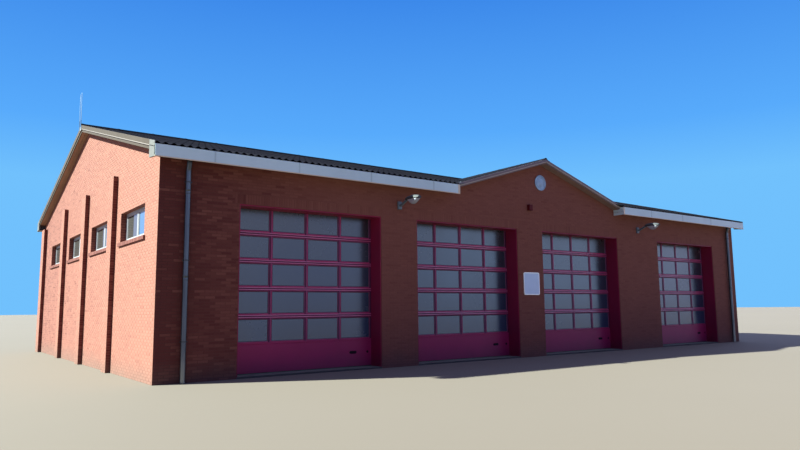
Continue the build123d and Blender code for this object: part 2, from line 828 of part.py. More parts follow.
# Wall lamps: a base on the pier, a bent arm, and a long head that reaches past the eave
lamp_base_level = soffit_level - lamp_base_drop
lamp_head_level = lamp_base_level + lamp_arm_rise
head_start = front - lamp_head_reach
head_wide = head_start - lamp_head_length / 3
head_tip = head_start - lamp_head_length
head_edge = lamp_head_depth / 2
arm_edge = lamp_arm_thickness / 2
arm_corner = front - lamp_arm_start_reach
for name, x in (("wall_lamp_left", pier_centres[1]), ("wall_lamp_right", pier_centres[3])):
    with BuildPart() as wall_lamp:
        # The head is widest a third of the way along: its side outline, cut to its plan
        with BuildSketch(at_x(x - lamp_head_width / 2)):
            Polygon((head_start, lamp_head_level - head_edge), (head_wide, lamp_head_level - head_edge),
                    (head_tip, lamp_head_level), (head_wide, lamp_head_level + head_edge),
                    (head_start, lamp_head_level + head_edge / 2), align=None)
        extrude(amount=lamp_head_width)
        with BuildSketch(at_z(lamp_head_level)):
            Polygon((x - lamp_head_width / 4, head_start), (x - lamp_head_width / 2, head_wide),
                    (x - lamp_head_width / 4, head_tip), (x + lamp_head_width / 4, head_tip),
                    (x + lamp_head_width / 2, head_wide), (x + lamp_head_width / 4, head_start),
                    align=None)
        extrude(amount=lamp_head_depth, both=True, mode=Mode.INTERSECT)
        with BuildSketch(at_y(front)):
            with Locations((x, lamp_base_level)):
                Rectangle(lamp_base_width, lamp_base_height)
        extrude(amount=lamp_base_depth)
        with BuildSketch(at_x(x - lamp_arm_thickness / 2)):
            Polygon((front, lamp_base_level - arm_edge), (arm_corner, lamp_base_level - arm_edge),
                    (head_start, lamp_head_level - arm_edge), (head_wide, lamp_head_level - arm_edge),
                    (head_wide, lamp_head_level + arm_edge), (head_start, lamp_head_level + arm_edge),
                    (arm_corner + arm_edge, lamp_base_level + arm_edge),
                    (front, lamp_base_level + arm_edge), align=None)
        extrude(amount=lamp_arm_thickness)
    save(wall_lamp, name)


# Fittings on the front wall
sign_place = pier_centres[2]
with BuildPart() as alarm_box:
    with BuildSketch(at_y(front)):
        with Locations((sign_place, eave_height - alarm_box_drop)):
            Rectangle(alarm_box_width, alarm_box_height)
    extrude(amount=alarm_box_depth)
    chamfer(alarm_box.faces().sort_by(Axis.Y)[0].edges(), length=alarm_box_chamfer)
save(alarm_box, "alarm_box")

with BuildPart() as sign_board:
    with BuildSketch(at_y(front)):
        with Locations((sign_place, sign_centre)):
            RectangleRounded(sign_width, sign_height, sign_corner)
    extrude(amount=sign_thickness)
save(sign_board, "sign_board")

with BuildPart() as wall_badge:
    with BuildSketch(at_y(front)):
        with Locations((0, eave_height + badge_rise)):
            Circle(badge_diameter / 2)
    extrude(amount=badge_thickness)
save(wall_badge, "wall_badge")


# Antenna: two thin rods in a bracket on the left gable's bargeboard
antenna_foot = main_underside(0) - upper_board_height
with BuildPart() as antenna:
    with BuildSketch(at_x(-verge_line)):
        with Locations((0, antenna_foot)):
            Rectangle(antenna_base_width, antenna_base_height, align=(Align.CENTER, Align.MIN))
    extrude(amount=-2 * antenna_rod_diameter)
    with BuildSketch(at_z(antenna_foot)):
        with Locations((-verge_line - antenna_rod_diameter, 0)):
            with GridLocations(0, antenna_rod_spacing, 1, 2):
                Circle(antenna_rod_diameter / 2)
    extrude(amount=antenna_height)
save(antenna, "antenna")
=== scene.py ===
from dataclasses import dataclass
from math import cos, pi, radians, sin, sqrt

import bmesh
import bpy
import numpy as np
from mathutils import Matrix, Vector


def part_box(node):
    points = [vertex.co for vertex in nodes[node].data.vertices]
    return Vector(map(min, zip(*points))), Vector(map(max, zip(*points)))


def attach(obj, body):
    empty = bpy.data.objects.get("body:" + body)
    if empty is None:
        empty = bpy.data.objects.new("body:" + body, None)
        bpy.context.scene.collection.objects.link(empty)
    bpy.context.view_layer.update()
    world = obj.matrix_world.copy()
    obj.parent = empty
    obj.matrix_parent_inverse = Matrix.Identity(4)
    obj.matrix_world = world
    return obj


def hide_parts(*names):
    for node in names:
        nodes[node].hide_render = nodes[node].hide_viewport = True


# The looks of a brick fire station: its brickwork, corrugated roof, boards, overhead doors,
# windows and fittings. All in metres. The front faces -Y, the ridge runs along X over y = 0.

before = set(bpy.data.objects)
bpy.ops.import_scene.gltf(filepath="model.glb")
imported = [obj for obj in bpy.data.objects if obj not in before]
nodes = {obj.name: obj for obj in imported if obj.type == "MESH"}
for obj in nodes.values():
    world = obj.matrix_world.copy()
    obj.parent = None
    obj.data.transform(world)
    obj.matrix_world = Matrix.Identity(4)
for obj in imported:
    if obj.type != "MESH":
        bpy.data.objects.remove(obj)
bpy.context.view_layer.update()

# Brickwork
brick_length = 0.228
brick_height = 0.0547
mortar_joint = 0.012
brick_pitch = brick_length + mortar_joint
course_pitch = brick_height + mortar_joint
brick_proud = 0.003
brick_sunk = 0.006
brick_edge = 0.0016
smallest_cut = 0.03
smallest_height = 0.002
soldier_ear = 0.12
sill_fall = 0.025
tone_spread = 0.085

# Corrugated sheets and ridge pieces
wave_pitch = 0.177
wave_height = 0.046
wave_steps = 8
sheet_thickness = 0.0065
sheet_lift = 0.007
sheet_reach = 1.05
sheet_lap = 0.1
shortest_sheet = 0.02
slab_depth = 0.06
valley_gap = 0.05
valley_wing = 0.16
ridge_length = 1.06
ridge_lap = 0.05
ridge_wing = 0.19
ridge_lift = 0.052
ridge_thickness = 0.008
roll_height = 0.045
roll_reach = 0.07
sheet_clearance = 0.003
flashing_lift = 0.012
flashing_thickness = 0.003

# Boards
board_thickness = 0.025
board_rise = 0.06
board_height = 0.16
upper_board_height = 0.07
small_board_height = 0.075
small_upper_height = 0.03
soffit_height = 0.095
soffit_board_width = 0.095
trim_proud = 0.003
fascia_joint_pitch = 2.09
fascia_joint_start = 11.12
joint_strip_half = 0.018
joint_strip_proud = 0.006
fascia_head_gap = 0.008
bead_top = 0.02

# Doors
rail_inset = 0.03
mullion_proud = 0.006
shade_strip_proud = 0.003
seam_and_shade_strip_proud = 0.0035

# Lamps
lamp_base_height = 0.22
lamp_base_half = 0.065
lamp_base_depth = 0.055
lamp_arm_reach = 0.38
lamp_arm_radius = 0.034
lamp_head_drop = 0.1

# Downpipes. A collar is given by pairs of a height over its foot and how far it stands out
pipe_radius = 0.058
pipe_stand = 0.1
outlet_stand = 0.15
strap_heights = (0.9, 2.65)
top_strap_drop = 0.41
strap_profile = ((-0.034, 0.004), (-0.006, 0.004))
ring_profile = ((-0.002, 0.001), (0.004, 0.005), (0.012, 0.005), (0.018, 0.001))
socket_profile = ((-0.004, 0.001), (0.0, 0.007), (0.012, 0.009), (0.02, 0.005), (0.07, 0.005),
                  (0.076, 0.009), (0.09, 0.009), (0.094, 0.001))
pipe_collars = ((4.1, socket_profile), (2.2, socket_profile), (3.38, ring_profile), (1.41, ring_profile))

# Small turned forms, by pairs of a distance along their axis and a radius
lock_profile = ((0.02, 0.034), (-0.004, 0.034), (-0.008, 0.026), (-0.008, 0.012))
collar_profile = ((0.05, 0.04), (0.068, 0.04), (0.075, 0.026))
screw_profile = ((0.015, 0.009), (0.022, 0.009), (0.024, 0.005))

random_numbers = np.random.default_rng(1874)
across = Vector((1, 0, 0))
deep = Vector((0, 1, 0))
upward = Vector((0, 0, 1))


# Where things are, read from the parts of model.glb

def solid_boxes(node):
    """The lowest and highest corners of each separate solid of a CAD node."""
    mesh = nodes[node].data
    places = [tuple(round(c, 5) for c in vertex.co) for vertex in mesh.vertices]
    owner = {place: place for place in places}

    def root_of(place):
        while owner[place] != place:
            owner[place] = owner[owner[place]]
            place = owner[place]
        return place

    for face in mesh.polygons:
        start = root_of(places[face.vertices[0]])
        for corner in face.vertices[1:]:
            owner[root_of(places[corner])] = start
    groups = {}
    for vertex, place in zip(mesh.vertices, places):
        groups.setdefault(root_of(place), []).append(vertex.co)
    found = [tuple(Vector([choose(axis) for axis in zip(*corners)]) for choose in (min, max))
             for corners in groups.values()]
    return sorted(found, key=lambda pair: tuple(round(c, 3) for c in pair[0]))


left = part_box("left_gable_wall")[0].x
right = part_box("right_gable_wall")[1].x
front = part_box("front_wall_head")[0].y
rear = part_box("rear_wall")[1].y
eave_low, roof_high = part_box("rear_roof_slope")
verge_line = roof_high.x
eave_line = roof_high.y
eave_height = eave_low.z
roof_slope = (roof_high.z - slab_depth - eave_height) / eave_line
soffit_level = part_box("rear_fascia")[0].z
front_soffit = soffit_level + soffit_height
cross_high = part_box("cross_roof_right")[1]
cross_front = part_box("cross_bargeboards")[0].y
cross_half_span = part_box("cross_bargeboards")[1].x
cross_ridge_end = cross_high.y
cross_slope = (cross_high.z - slab_depth - eave_height) / cross_half_span
valley_run = eave_line + cross_ridge_end
door_linings = [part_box(f"door_{n}_lining") for n in (1, 2, 3, 4)]
pane_boxes = solid_boxes("door_panes")
leaf_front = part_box("door_1_sections")[0].y


def main_underside(y):
    return eave_height + roof_slope * (eave_line - abs(y))


def cross_underside(x):
    return eave_height + cross_slope * (cross_half_span - abs(x))


@dataclass
class Wall:
    """An outer wall: the axis along it, where it starts, its plane, and which way it faces."""
    name: str
    axis: int
    start: float
    plane: float
    outward: int

    def at(self, along, depth, z):
        """A point from its place along the wall, its place across it and its height."""
        return (depth, along, z) if self.axis else (along, depth, z)

    def ends(self, low, high):
        return low[self.axis], high[self.axis]

    def sides(self, low, high):
        """The outer and the inner side of a box that stands in or on the wall."""
        return [corner[1 - self.axis] for corner in (low, high)[::-self.outward]]


left_wall = Wall("left", 1, front, left, -1)
right_wall = Wall("right", 1, front, right, 1)
rear_wall = Wall("rear", 0, left, rear, 1)
front_wall = Wall("front", 0, left, front, -1)


# Building pieces

class Draft:
    """Corners and faces of a piece while it is drawn up. Each face has a tone from 0 to 1."""

    def __init__(self):
        self.corners = []
        self.faces = []
        self.tones = []

    def add(self, corners, faces, tone):
        base = len(self.corners)
        self.corners.extend(tuple(c) for c in corners)
        self.faces.extend(tuple(base + i for i in face) for face in faces)
        self.tones.extend([tone] * len(faces))

    def block(self, lower, upper, tone=0.5):
        """A closed block between two outlines of equal count."""
        count = len(lower)
        sides = [(i, (i + 1) % count, count + (i + 1) % count, count + i) for i in range(count)]
        caps = [tuple(reversed(range(count))), tuple(range(count, 2 * count))]
        self.add(list(lower) + list(upper), caps + sides, tone)

    def box(self, corner, other, tone=0.5):
        """A box between two opposite corners, in any order."""
        (x, far_x), (y, far_y), heights = (sorted(pair) for pair in zip(corner, other))
        lower, upper = ([(x, y, z), (far_x, y, z), (far_x, far_y, z), (x, far_y, z)] for z in heights)
        self.block(lower, upper, tone)

    def prism(self, outline, shift, tone=0.5):
        """An outline in space, carried along a vector."""
        self.block(outline, [Vector(p) + Vector(shift) for p in outline], tone)

    def rings(self, rings, tone=0.5, closed=False):
        """A skin through rings of equal count, with both ends shut unless it closes on itself."""
        count = len(rings[0])
        faces = []
        for r in range(len(rings) if closed else len(rings) - 1):
            near = r * count
            far = (r + 1) % len(rings) * count
            for i in range(count):
                j = (i + 1) % count
                faces.append((near + i, near + j, far + j, far + i))
        if not closed:
            faces.append(tuple(reversed(range(count))))
            faces.append(tuple((len(rings) - 1) * count + i for i in range(count)))
        self.add([c for ring in rings for c in ring], faces, tone)

    def turned(self, centre, heading, profile, steps):
        """A round form on a line from a centre, by pairs of a distance along it and a radius."""
        heading = Vector(heading)
        other = upward if abs(heading.y) > abs(heading.z) else deep
        self.rings([ellipse(Vector(centre) + heading * distance, other, radius, radius, steps)
                    for distance, radius in profile])

    def tube(self, points, radius, steps):
        """A round bar through points on a plane across X, mitred at each corner."""
        points = [Vector(p) for p in points]
        headings = [(after - before).normalized() for before, after in zip(points, points[1:])]
        rings = []
        for point, before, after in zip(points, headings[:1] + headings, headings + headings[-1:]):
            heading = (before + after).normalized()
            stretch = 1 / max(0.3, heading.dot(before))
            rings.append(ellipse(point, across.cross(heading).normalized(), radius, radius * stretch, steps))
        self.rings(rings)

    def frame(self, low, high, section, at):
        """A mitred frame in a rectangle, by pairs of an inset from its edge and a place across."""
        (low_u, low_z), (high_u, high_z) = low, high
        self.rings([[at(u + su * inset, depth, z + sz * inset) for inset, depth in section]
                    for u, z, su, sz in ((low_u, low_z, 1, 1), (high_u, low_z, -1, 1),
                                         (high_u, high_z, -1, -1), (low_u, high_z, 1, -1))], closed=True)

    def piece(self, name, look, slot, smooth=None, bevel=0, replaces=()):
        """Makes the object, gives it its finish, and fixes it to the building."""
        mesh = bpy.data.meshes.new(name)
        mesh.from_pydata(self.corners, [], self.faces)
        tones = mesh.attributes.new("tone", "FLOAT", "FACE")
        tones.data.foreach_set("value", np.array(self.tones, np.float32))
        mesh.materials.append(looks[look])
        obj = bpy.data.objects.new(name, mesh)
        bpy.context.scene.collection.objects.link(obj)
        face_outward(mesh)
        if bevel:
            rounding = obj.modifiers.new("rounded_edges", "BEVEL")
            rounding.width = bevel
            rounding.segments = 2
            rounding.limit_method = "ANGLE"
            rounding.angle_limit = radians(35)
        if smooth is not None:
            mesh.shade_smooth()
            mesh.set_sharp_from_angle(angle=radians(smooth))
        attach(obj, "root")
        if replaces:
            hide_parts(*replaces)


def face_outward(mesh):
    """Turns every face of the closed shells to look outward."""
    shell = bmesh.new()
    shell.from_mesh(mesh)
    bmesh.ops.recalc_face_normals(shell, faces=shell.faces)
    shell.to_mesh(mesh)
    shell.free()
    mesh.update()


def ellipse(centre, other, radius, other_radius, steps):
    """Points round a centre in the plane of X and another direction."""
    turns = [2 * pi * i / steps for i in range(steps)]
    return [centre + across * (radius * cos(turn)) + other * (other_radius * sin(turn)) for turn in turns]


# Shader effects shared by several finishes

def add_node(tree, kind, inputs=(), **settings):
    node = tree.nodes.new(kind)
    for name, value in settings.items():
        setattr(node, name, value)
    for name, value in dict(inputs).items():
        if isinstance(value, bpy.types.NodeSocket):
            tree.links.new(value, node.inputs[name])
        else:
            node.inputs[name].default_value = value
    return node


def math_node(tree, operation, first, second, clamp=False):
    node = add_node(tree, "ShaderNodeMath", {0: first, 1: second}, operation=operation, use_clamp=clamp)
    return node.outputs[0]


def mix_colours(tree, factor, first, second, blend="MIX"):
    """Two colours mixed, each a socket or a plain colour."""
    first, second = (c if isinstance(c, bpy.types.NodeSocket) else (*c, 1) for c in (first, second))
    node = add_node(tree, "ShaderNodeMix", {0: factor}, data_type="RGBA", blend_type=blend)
    for place, value in ((6, first), (7, second)):
        if isinstance(value, bpy.types.NodeSocket):
            tree.links.new(value, node.inputs[place])
        else:
            node.inputs[place].default_value = value
    return node.outputs[2]


def map_range(tree, value, *limits):
    """A value carried from one range to another, each 0 to 1 where it isn't given."""
    labels = ("From Min", "From Max", "To Min", "To Max")
    return add_node(tree, "ShaderNodeMapRange", {"Value": value, **dict(zip(labels, limits))}).outputs[0]


def noise(tree, place, scale, detail, roughness=0.5):
    return add_node(tree, "ShaderNodeTexNoise", {"Vector": place, "Scale": scale, "Detail": detail,
                                                 "Roughness": roughness}).outputs[0]


def object_place(tree):
    return add_node(tree, "ShaderNodeTexCoord").outputs["Object"]


def separate(tree, vector):
    return add_node(tree, "ShaderNodeSeparateXYZ", {0: vector}).outputs


def new_group(name, inputs, outputs):
    """A shader group with inputs and outputs of the names given, all plain values."""
    group = bpy.data.node_groups.new(name, "ShaderNodeTree")
    for label, value in inputs.items():
        socket = group.interface.new_socket(label, in_out="INPUT", socket_type="NodeSocketFloat")
        socket.default_value = value
    for label in outputs:
        group.interface.new_socket(label, in_out="OUTPUT", socket_type="NodeSocketFloat")
    return group, group.nodes.new("NodeGroupInput").outputs, group.nodes.new("NodeGroupOutput").inputs


def make_weathering():
    """Large blotches and a fine grain, both from 0 to 1."""
    group, given, result = new_group(
        "weathering", {"Blotch Scale": 1.5, "Grain Scale": 60.0, "Streak": 0.0}, ("Blotch", "Grain"))
    place = object_place(group)
    parts = separate(group, place)
    squeeze = math_node(group, "SUBTRACT", 1.0, given["Streak"])
    height = math_node(group, "MULTIPLY", parts["Z"], squeeze)
    drawn = add_node(group, "ShaderNodeCombineXYZ", {"X": parts["X"], "Y": parts["Y"], "Z": height})
    blotch = noise(group, drawn.outputs[0], given["Blotch Scale"], 6.0, 0.6)
    group.links.new(map_range(group, blotch, 0.3, 0.7), result["Blotch"])
    group.links.new(noise(group, place, given["Grain Scale"], 4.0, 0.65), result["Grain"])
    return group


def make_ground_splash():
    """Mask of the dirt that rain throws up from the ground, 1 at the foot and 0 above."""
    group, given, result = new_group("ground_splash", {"Reach": 0.6}, ("Mask",))
    place = object_place(group)
    ragged = math_node(group, "MULTIPLY", noise(group, place, 3.0, 5.0), 0.7)
    height = math_node(group, "DIVIDE", separate(group, place)["Z"], given["Reach"])
    raised = math_node(group, "ADD", height, ragged)
    group.links.new(math_node(group, "SUBTRACT", 1.25, raised, clamp=True), result["Mask"])
    return group


def make_bumps():
    """A height from fine grain and slow waves."""
    group, given, result = new_group(
        "surface_bumps", {"Fine Scale": 80.0, "Fine Depth": 0.001, "Slow Scale": 3.0, "Slow Depth": 0.0},
        ("Height",))
    place = object_place(group)
    fine, slow = (math_node(group, "MULTIPLY", noise(group, place, given[f"{kind} Scale"], detail),
                            given[f"{kind} Depth"]) for kind, detail in (("Fine", 5.0), ("Slow", 2.0)))
    group.links.new(math_node(group, "ADD", fine, slow), result["Height"])
    return group


weathering = make_weathering()
ground_splash = make_ground_splash()
surface_bumps = make_bumps()
looks = {}


class Finish:
    """A material being mixed: its shader, and the weathering that its colours draw on."""

    def __init__(self, name, blotch=1.5, grain=60.0, streak=0.0, **constants):
        looks[name] = bpy.data.materials.new(name)
        looks[name].use_nodes = True
        self.tree = looks[name].node_tree
        self.shader = self.tree.nodes["Principled BSDF"]
        wear = self.effect(weathering, blotch, grain, streak)
        self.blotch = wear["Blotch"]
        self.grain = wear["Grain"]
        for label, value in constants.items():
            self.shader.inputs[label.replace("_", " ")].default_value = value

    def effect(self, group, *values):
        """A shared effect, with its own values in the order of the group's inputs."""
        return add_node(self.tree, "ShaderNodeGroup", enumerate(values), node_tree=group).outputs

    def mix(self, factor, first, second, blend="MIX"):
        return mix_colours(self.tree, factor, first, second, blend)

    def tone(self):
        return add_node(self.tree, "ShaderNodeAttribute", attribute_name="tone").outputs["Fac"]

    def splash(self, colour, dirt, reach, amount):
        """The colour, with dirt thrown up from the ground over it."""
        mask = self.effect(ground_splash, reach)["Mask"]
        return self.mix(math_node(self.tree, "MULTIPLY", mask, amount), colour, dirt)

    def surface(self, colour, rough, bumps, source=None):
        """Sets the colour, the range of roughness, and the bumps: fine scale and depth, then slow."""
        height = self.effect(surface_bumps, *bumps)["Height"]
        bump = add_node(self.tree, "ShaderNodeBump", {"Height": height, "Distance": 1.0, "Strength": 1.0})
        roughness = map_range(self.tree, source or self.grain, 0.0, 1.0, *rough)
        for socket, label in ((colour, "Base Color"), (roughness, "Roughness"), (bump.outputs[0], "Normal")):
            self.tree.links.new(socket, self.shader.inputs[label])


def painted(name, light, dark, rough, blotch=1.5, grain=60.0, streak=0.0, bump=(90.0, 0.0006),
            slow=(3.0, 0.0), dirt=None, **constants):
    """A plain coloured finish that varies between two tones, with grain, and dirt at its foot."""
    finish = Finish(name, blotch, grain, streak, **constants)
    colour = finish.mix(0.12, finish.mix(finish.blotch, light, dark), finish.grain, "OVERLAY")
    if dirt:
        colour = finish.splash(colour, *dirt)
    finish.surface(colour, rough, (*bump, *slow))


def brick_finish():
    """Machine made red bricks: each has its own tone, with sandy grain and darker blotches."""
    finish = Finish("red_brick", blotch=0.5, grain=140.0, streak=0.4)
    ramp = add_node(finish.tree, "ShaderNodeValToRGB", {"Fac": finish.tone()})
    stops = ramp.color_ramp.elements
    stops[0].color = (0.1, 0.015, 0.011, 1)
    stops[1].color = (0.31, 0.115, 0.082, 1)
    for place, colour in ((0.2, (0.185, 0.052, 0.038)), (0.5, (0.232, 0.079, 0.057)),
                          (0.8, (0.258, 0.09, 0.065))):
        stops.new(place).color = (*colour, 1)
    wear = math_node(finish.tree, "MULTIPLY", finish.blotch, 0.22)
    worn = finish.mix(wear, ramp.outputs[0], (0.155, 0.05, 0.038))
    sandy = finish.mix(0.22, worn, finish.grain, "OVERLAY")
    finish.surface(finish.splash(sandy, (0.12, 0.075, 0.06), 0.55, 0.55), (0.78, 0.95),
                   (160.0, 0.0016, 30.0, 0.002))


def mortar_finish(name, corner_shade=False):
    """Weathered lime and cement mortar. The front's darkens towards its left corner: painted shade."""
    finish = Finish(name, blotch=0.9, grain=220.0)
    tree = finish.tree
    colour = finish.mix(finish.blotch, (0.236, 0.082, 0.06), (0.203, 0.071, 0.052))
    if corner_shade:
        normal = add_node(tree, "ShaderNodeNewGeometry").outputs["Normal"]
        near_corner = map_range(tree, separate(tree, object_place(tree))["X"], left, left + 4.5, 1.0, 0.0)
        frontal = map_range(tree, separate(tree, normal)["Y"], -0.9, -0.5, 1.0, 0.0)
        # Painted shade: dark on the front face, fading out within 4.5 m of the left corner
        colour = finish.mix(math_node(tree, "MULTIPLY", near_corner, frontal), colour, (0.08, 0.018, 0.014))
    sandy = finish.mix(0.3, colour, finish.grain, "OVERLAY")
    finish.surface(finish.splash(sandy, (0.06, 0.042, 0.036), 0.6, 0.6), (0.86, 0.98),
                   (240.0, 0.0022, 40.0, 0.002))


def sheet_finish():
    """Old fibre cement: dark grey with spots of lichen."""
    finish = Finish("fibre_cement", blotch=1.1, grain=45.0, Specular_IOR_Level=0.0)
    tree = finish.tree
    colour = finish.mix(finish.blotch, (0.0065, 0.0062, 0.011), (0.011, 0.0105, 0.016))
    lichen = add_node(tree, "ShaderNodeTexVoronoi", {"Scale": 9.0, "Vector": object_place(tree)})
    spots = map_range(tree, lichen.outputs["Distance"], 0.12, 0.3, 0.45, 0.0)
    spotted = finish.mix(math_node(tree, "MULTIPLY", spots, finish.blotch), colour, (0.022, 0.02, 0.018))
    finish.surface(finish.mix(0.25, spotted, finish.grain, "OVERLAY"), (0.75, 0.95),
                   (120.0, 0.002, 14.0, 0.002))


def board_finish(name, light, dark, rough, shine=0.5):
    """Painted boards: the paint has long faint runs, and the wood's grain shows through."""
    finish = Finish(name, blotch=0.8, grain=55.0, streak=0.6, Specular_IOR_Level=shine)
    stretched = add_node(finish.tree, "ShaderNodeMapping",
                         {"Vector": object_place(finish.tree), "Scale": (0.35, 0.35, 9.0)})
    fibres = noise(finish.tree, stretched.outputs[0], 14.0, 6.0)
    colour = finish.mix(0.22, finish.mix(finish.blotch, light, dark), fibres, "OVERLAY")
    finish.surface(colour, rough, (70.0, 0.0008, 6.0, 0.0015))


def pane_finish(name, deep_colour, film, sky, rough, index):
    """Glazing over a dark hall: a dusty film, and a painted reflection of blue sky on panes of a higher tone.
    """
    finish = Finish(name, blotch=0.9, grain=30.0, IOR=index)
    dusty = finish.mix(finish.blotch, deep_colour, film)
    finish.surface(finish.mix(finish.tone(), dusty, sky), rough, (6.0, 0.00002, 1.2, 0.0006), finish.blotch)


# Each finish: its lighter and darker colour, its range of roughness, and what else it has
brick_finish()
mortar_finish("mortar")
# The front's mortar carries painted shade by its left corner
mortar_finish("front_mortar_with_painted_shade", corner_shade=True)
sheet_finish()
# The third colour of each glass is a painted reflection of the sky
pane_finish("door_glass", (0.012, 0.013, 0.018), (0.03, 0.032, 0.04), (0.02, 0.055, 0.115), (0.2, 0.3), 1.75)
pane_finish("window_glass", (0.04, 0.037, 0.038), (0.06, 0.055, 0.057), (0.04, 0.09, 0.18), (0.03, 0.06), 1.6)
for board in (
        # The front's white boards and joint strips lie in shade; their blue cast is painted skylight
        ("fascia_paint", (0.66, 0.86, 0.95), (0.56, 0.74, 0.83), (0.35, 0.5), 0.7),
        ("joint_paint", (0.54, 0.72, 0.8), (0.46, 0.6, 0.68), (0.45, 0.62)),
        # A cream bead along the foot of the front fascia: white paint with painted warm light from the sunlit
        # ground
        ("eave_bead_painted_warm_light", (0.85, 0.72, 0.58), (0.7, 0.6, 0.48), (0.45, 0.62)),
        # The rear's boards, joint strips and beads are darker copies of the front's white, to offset the sun
        # on the rear
        ("rear_fascia_paint_darkened_for_sun", (0.34, 0.3, 0.315), (0.29, 0.255, 0.27), (0.45, 0.6)),
        ("rear_joint_paint_darkened_for_sun", (0.28, 0.245, 0.26), (0.23, 0.2, 0.215), (0.5, 0.65)),
        ("rear_bead_paint_darkened_for_sun", (0.36, 0.31, 0.31), (0.3, 0.26, 0.26), (0.5, 0.65)),
        # The gables' boards, trim and end boards are painted darker to offset the sun on the sunlit gable;
        # the end boards are the eaves' white
        ("barge_paint_darkened_for_sun", (0.07, 0.05, 0.042), (0.055, 0.039, 0.033), (0.6, 0.75), 0.1),
        ("barge_trim_paint_darkened_for_sun", (0.17, 0.126, 0.112), (0.145, 0.107, 0.095), (0.45, 0.62)),
        ("barge_end_paint_darkened_for_sun", (0.11, 0.098, 0.09), (0.08, 0.072, 0.067), (0.45, 0.62)),
        # The small gable's boards and trim are lighter copies of the gables' paint, to offset its shade
        ("small_gable_paint_lightened_for_shade", (0.2, 0.15, 0.175), (0.155, 0.115, 0.135), (0.55, 0.72)),
        ("small_gable_trim_paint", (0.5, 0.43, 0.37), (0.42, 0.36, 0.31), (0.45, 0.62)),
        ("soffit_paint", (0.29, 0.16, 0.1), (0.22, 0.122, 0.076), (0.6, 0.75)),
        ("small_gable_soffit_paint", (0.3, 0.2, 0.17), (0.24, 0.16, 0.135), (0.6, 0.75)),
        ("truss_timber", (0.42, 0.29, 0.17), (0.32, 0.21, 0.12), (0.65, 0.8))):
    board_finish(*board)
painted("concrete", (0.075, 0.07, 0.067), (0.05, 0.047, 0.045), (0.8, 0.95), grain=90.0, bump=(110.0, 0.0015))
painted("section_paint", (0.47, 0.03, 0.135), (0.4, 0.025, 0.115), (0.32, 0.45), blotch=0.7, grain=420.0,
        bump=(300.0, 0.0005), slow=(1.4, 0.0015), dirt=((0.12, 0.045, 0.06), 0.5, 0.4),
        Specular_IOR_Level=0.22)
painted("lining_paint", (0.29, 0.012, 0.056), (0.22, 0.01, 0.045), (0.38, 0.5), blotch=0.9, grain=200.0,
        bump=(140.0, 0.0004), slow=(1.5, 0.001), dirt=((0.08, 0.03, 0.03), 0.45, 0.4),
        Specular_IOR_Level=0.25)
for name, light, dark, rough, shine in (
        # Dark strips on the doors: painted shade, and the seams of the sections
        ("shade_and_seam_paint", (0.09, 0.014, 0.05), (0.06, 0.01, 0.038), (0.5, 0.65), 0.2),
        ("glazing_bead_paint", (0.3, 0.05, 0.18), (0.24, 0.04, 0.14), (0.3, 0.45), 0.4),
        # A lighter pink for the ribs of the door sections: a painted highlight
        ("highlight_rib_paint", (0.62, 0.15, 0.3), (0.52, 0.12, 0.25), (0.2, 0.3), 0.7)):
    painted(name, light, dark, rough, grain=420.0, bump=(300.0, 0.0004), Specular_IOR_Level=shine)
painted("window_frame_paint", (0.3, 0.28, 0.32), (0.23, 0.22, 0.25), (0.35, 0.5), grain=90.0,
        bump=(60.0, 0.0003))
painted("black_rubber", (0.016, 0.016, 0.017), (0.03, 0.03, 0.03), (0.55, 0.75), grain=200.0,
        bump=(200.0, 0.0004))
painted("grip_black", (0.02, 0.006, 0.014), (0.014, 0.004, 0.01), (0.6, 0.75), grain=200.0,
        bump=(200.0, 0.0004), Specular_IOR_Level=0.1)
painted("pipe_zinc", (0.085, 0.093, 0.108), (0.055, 0.062, 0.074), (0.24, 0.4), blotch=3.0, streak=0.7,
        bump=(50.0, 0.0003), dirt=((0.26, 0.25, 0.22), 0.8, 0.7), Metallic=0.8)
painted("galvanised_steel", (0.42, 0.44, 0.46), (0.3, 0.32, 0.34), (0.35, 0.55), blotch=14.0,
        bump=(70.0, 0.0004), Metallic=0.9)
painted("lamp_metal", (0.06, 0.058, 0.064), (0.042, 0.042, 0.047), (0.6, 0.75), grain=90.0, Metallic=0.3)
painted("lamp_lens", (0.42, 0.42, 0.5), (0.34, 0.34, 0.41), (0.2, 0.3), grain=40.0, bump=(30.0, 0.0004))
painted("lamp_base_paint", (0.13, 0.17, 0.21), (0.09, 0.12, 0.15), (0.4, 0.55), grain=120.0)
painted("alarm_paint", (0.12, 0.006, 0.01), (0.08, 0.005, 0.008), (0.5, 0.65), grain=140.0,
        Specular_IOR_Level=0.15)
painted("sign_white", (0.95, 0.93, 0.88), (0.9, 0.88, 0.84), (0.12, 0.2), blotch=3.0, grain=90.0,
        bump=(40.0, 0.0001), IOR=3.0)
painted("sign_field", (0.5, 0.62, 0.85), (0.45, 0.57, 0.8), (0.2, 0.3), blotch=3.0, grain=90.0,
        bump=(40.0, 0.0001), IOR=1.9)
painted("sign_edge", (0.42, 0.44, 0.47), (0.34, 0.36, 0.38), (0.35, 0.5), Metallic=0.6)
painted("badge_metal", (0.24, 0.29, 0.36), (0.14, 0.18, 0.24), (0.3, 0.48), blotch=9.0, grain=90.0,
        Metallic=0.5)
painted("lead_sheet", (0.05, 0.052, 0.058), (0.032, 0.034, 0.038), (0.5, 0.7), blotch=5.0, Metallic=0.4)
painted("antenna_metal", (0.22, 0.27, 0.33), (0.18, 0.22, 0.27), (0.35, 0.55), Metallic=0.5)


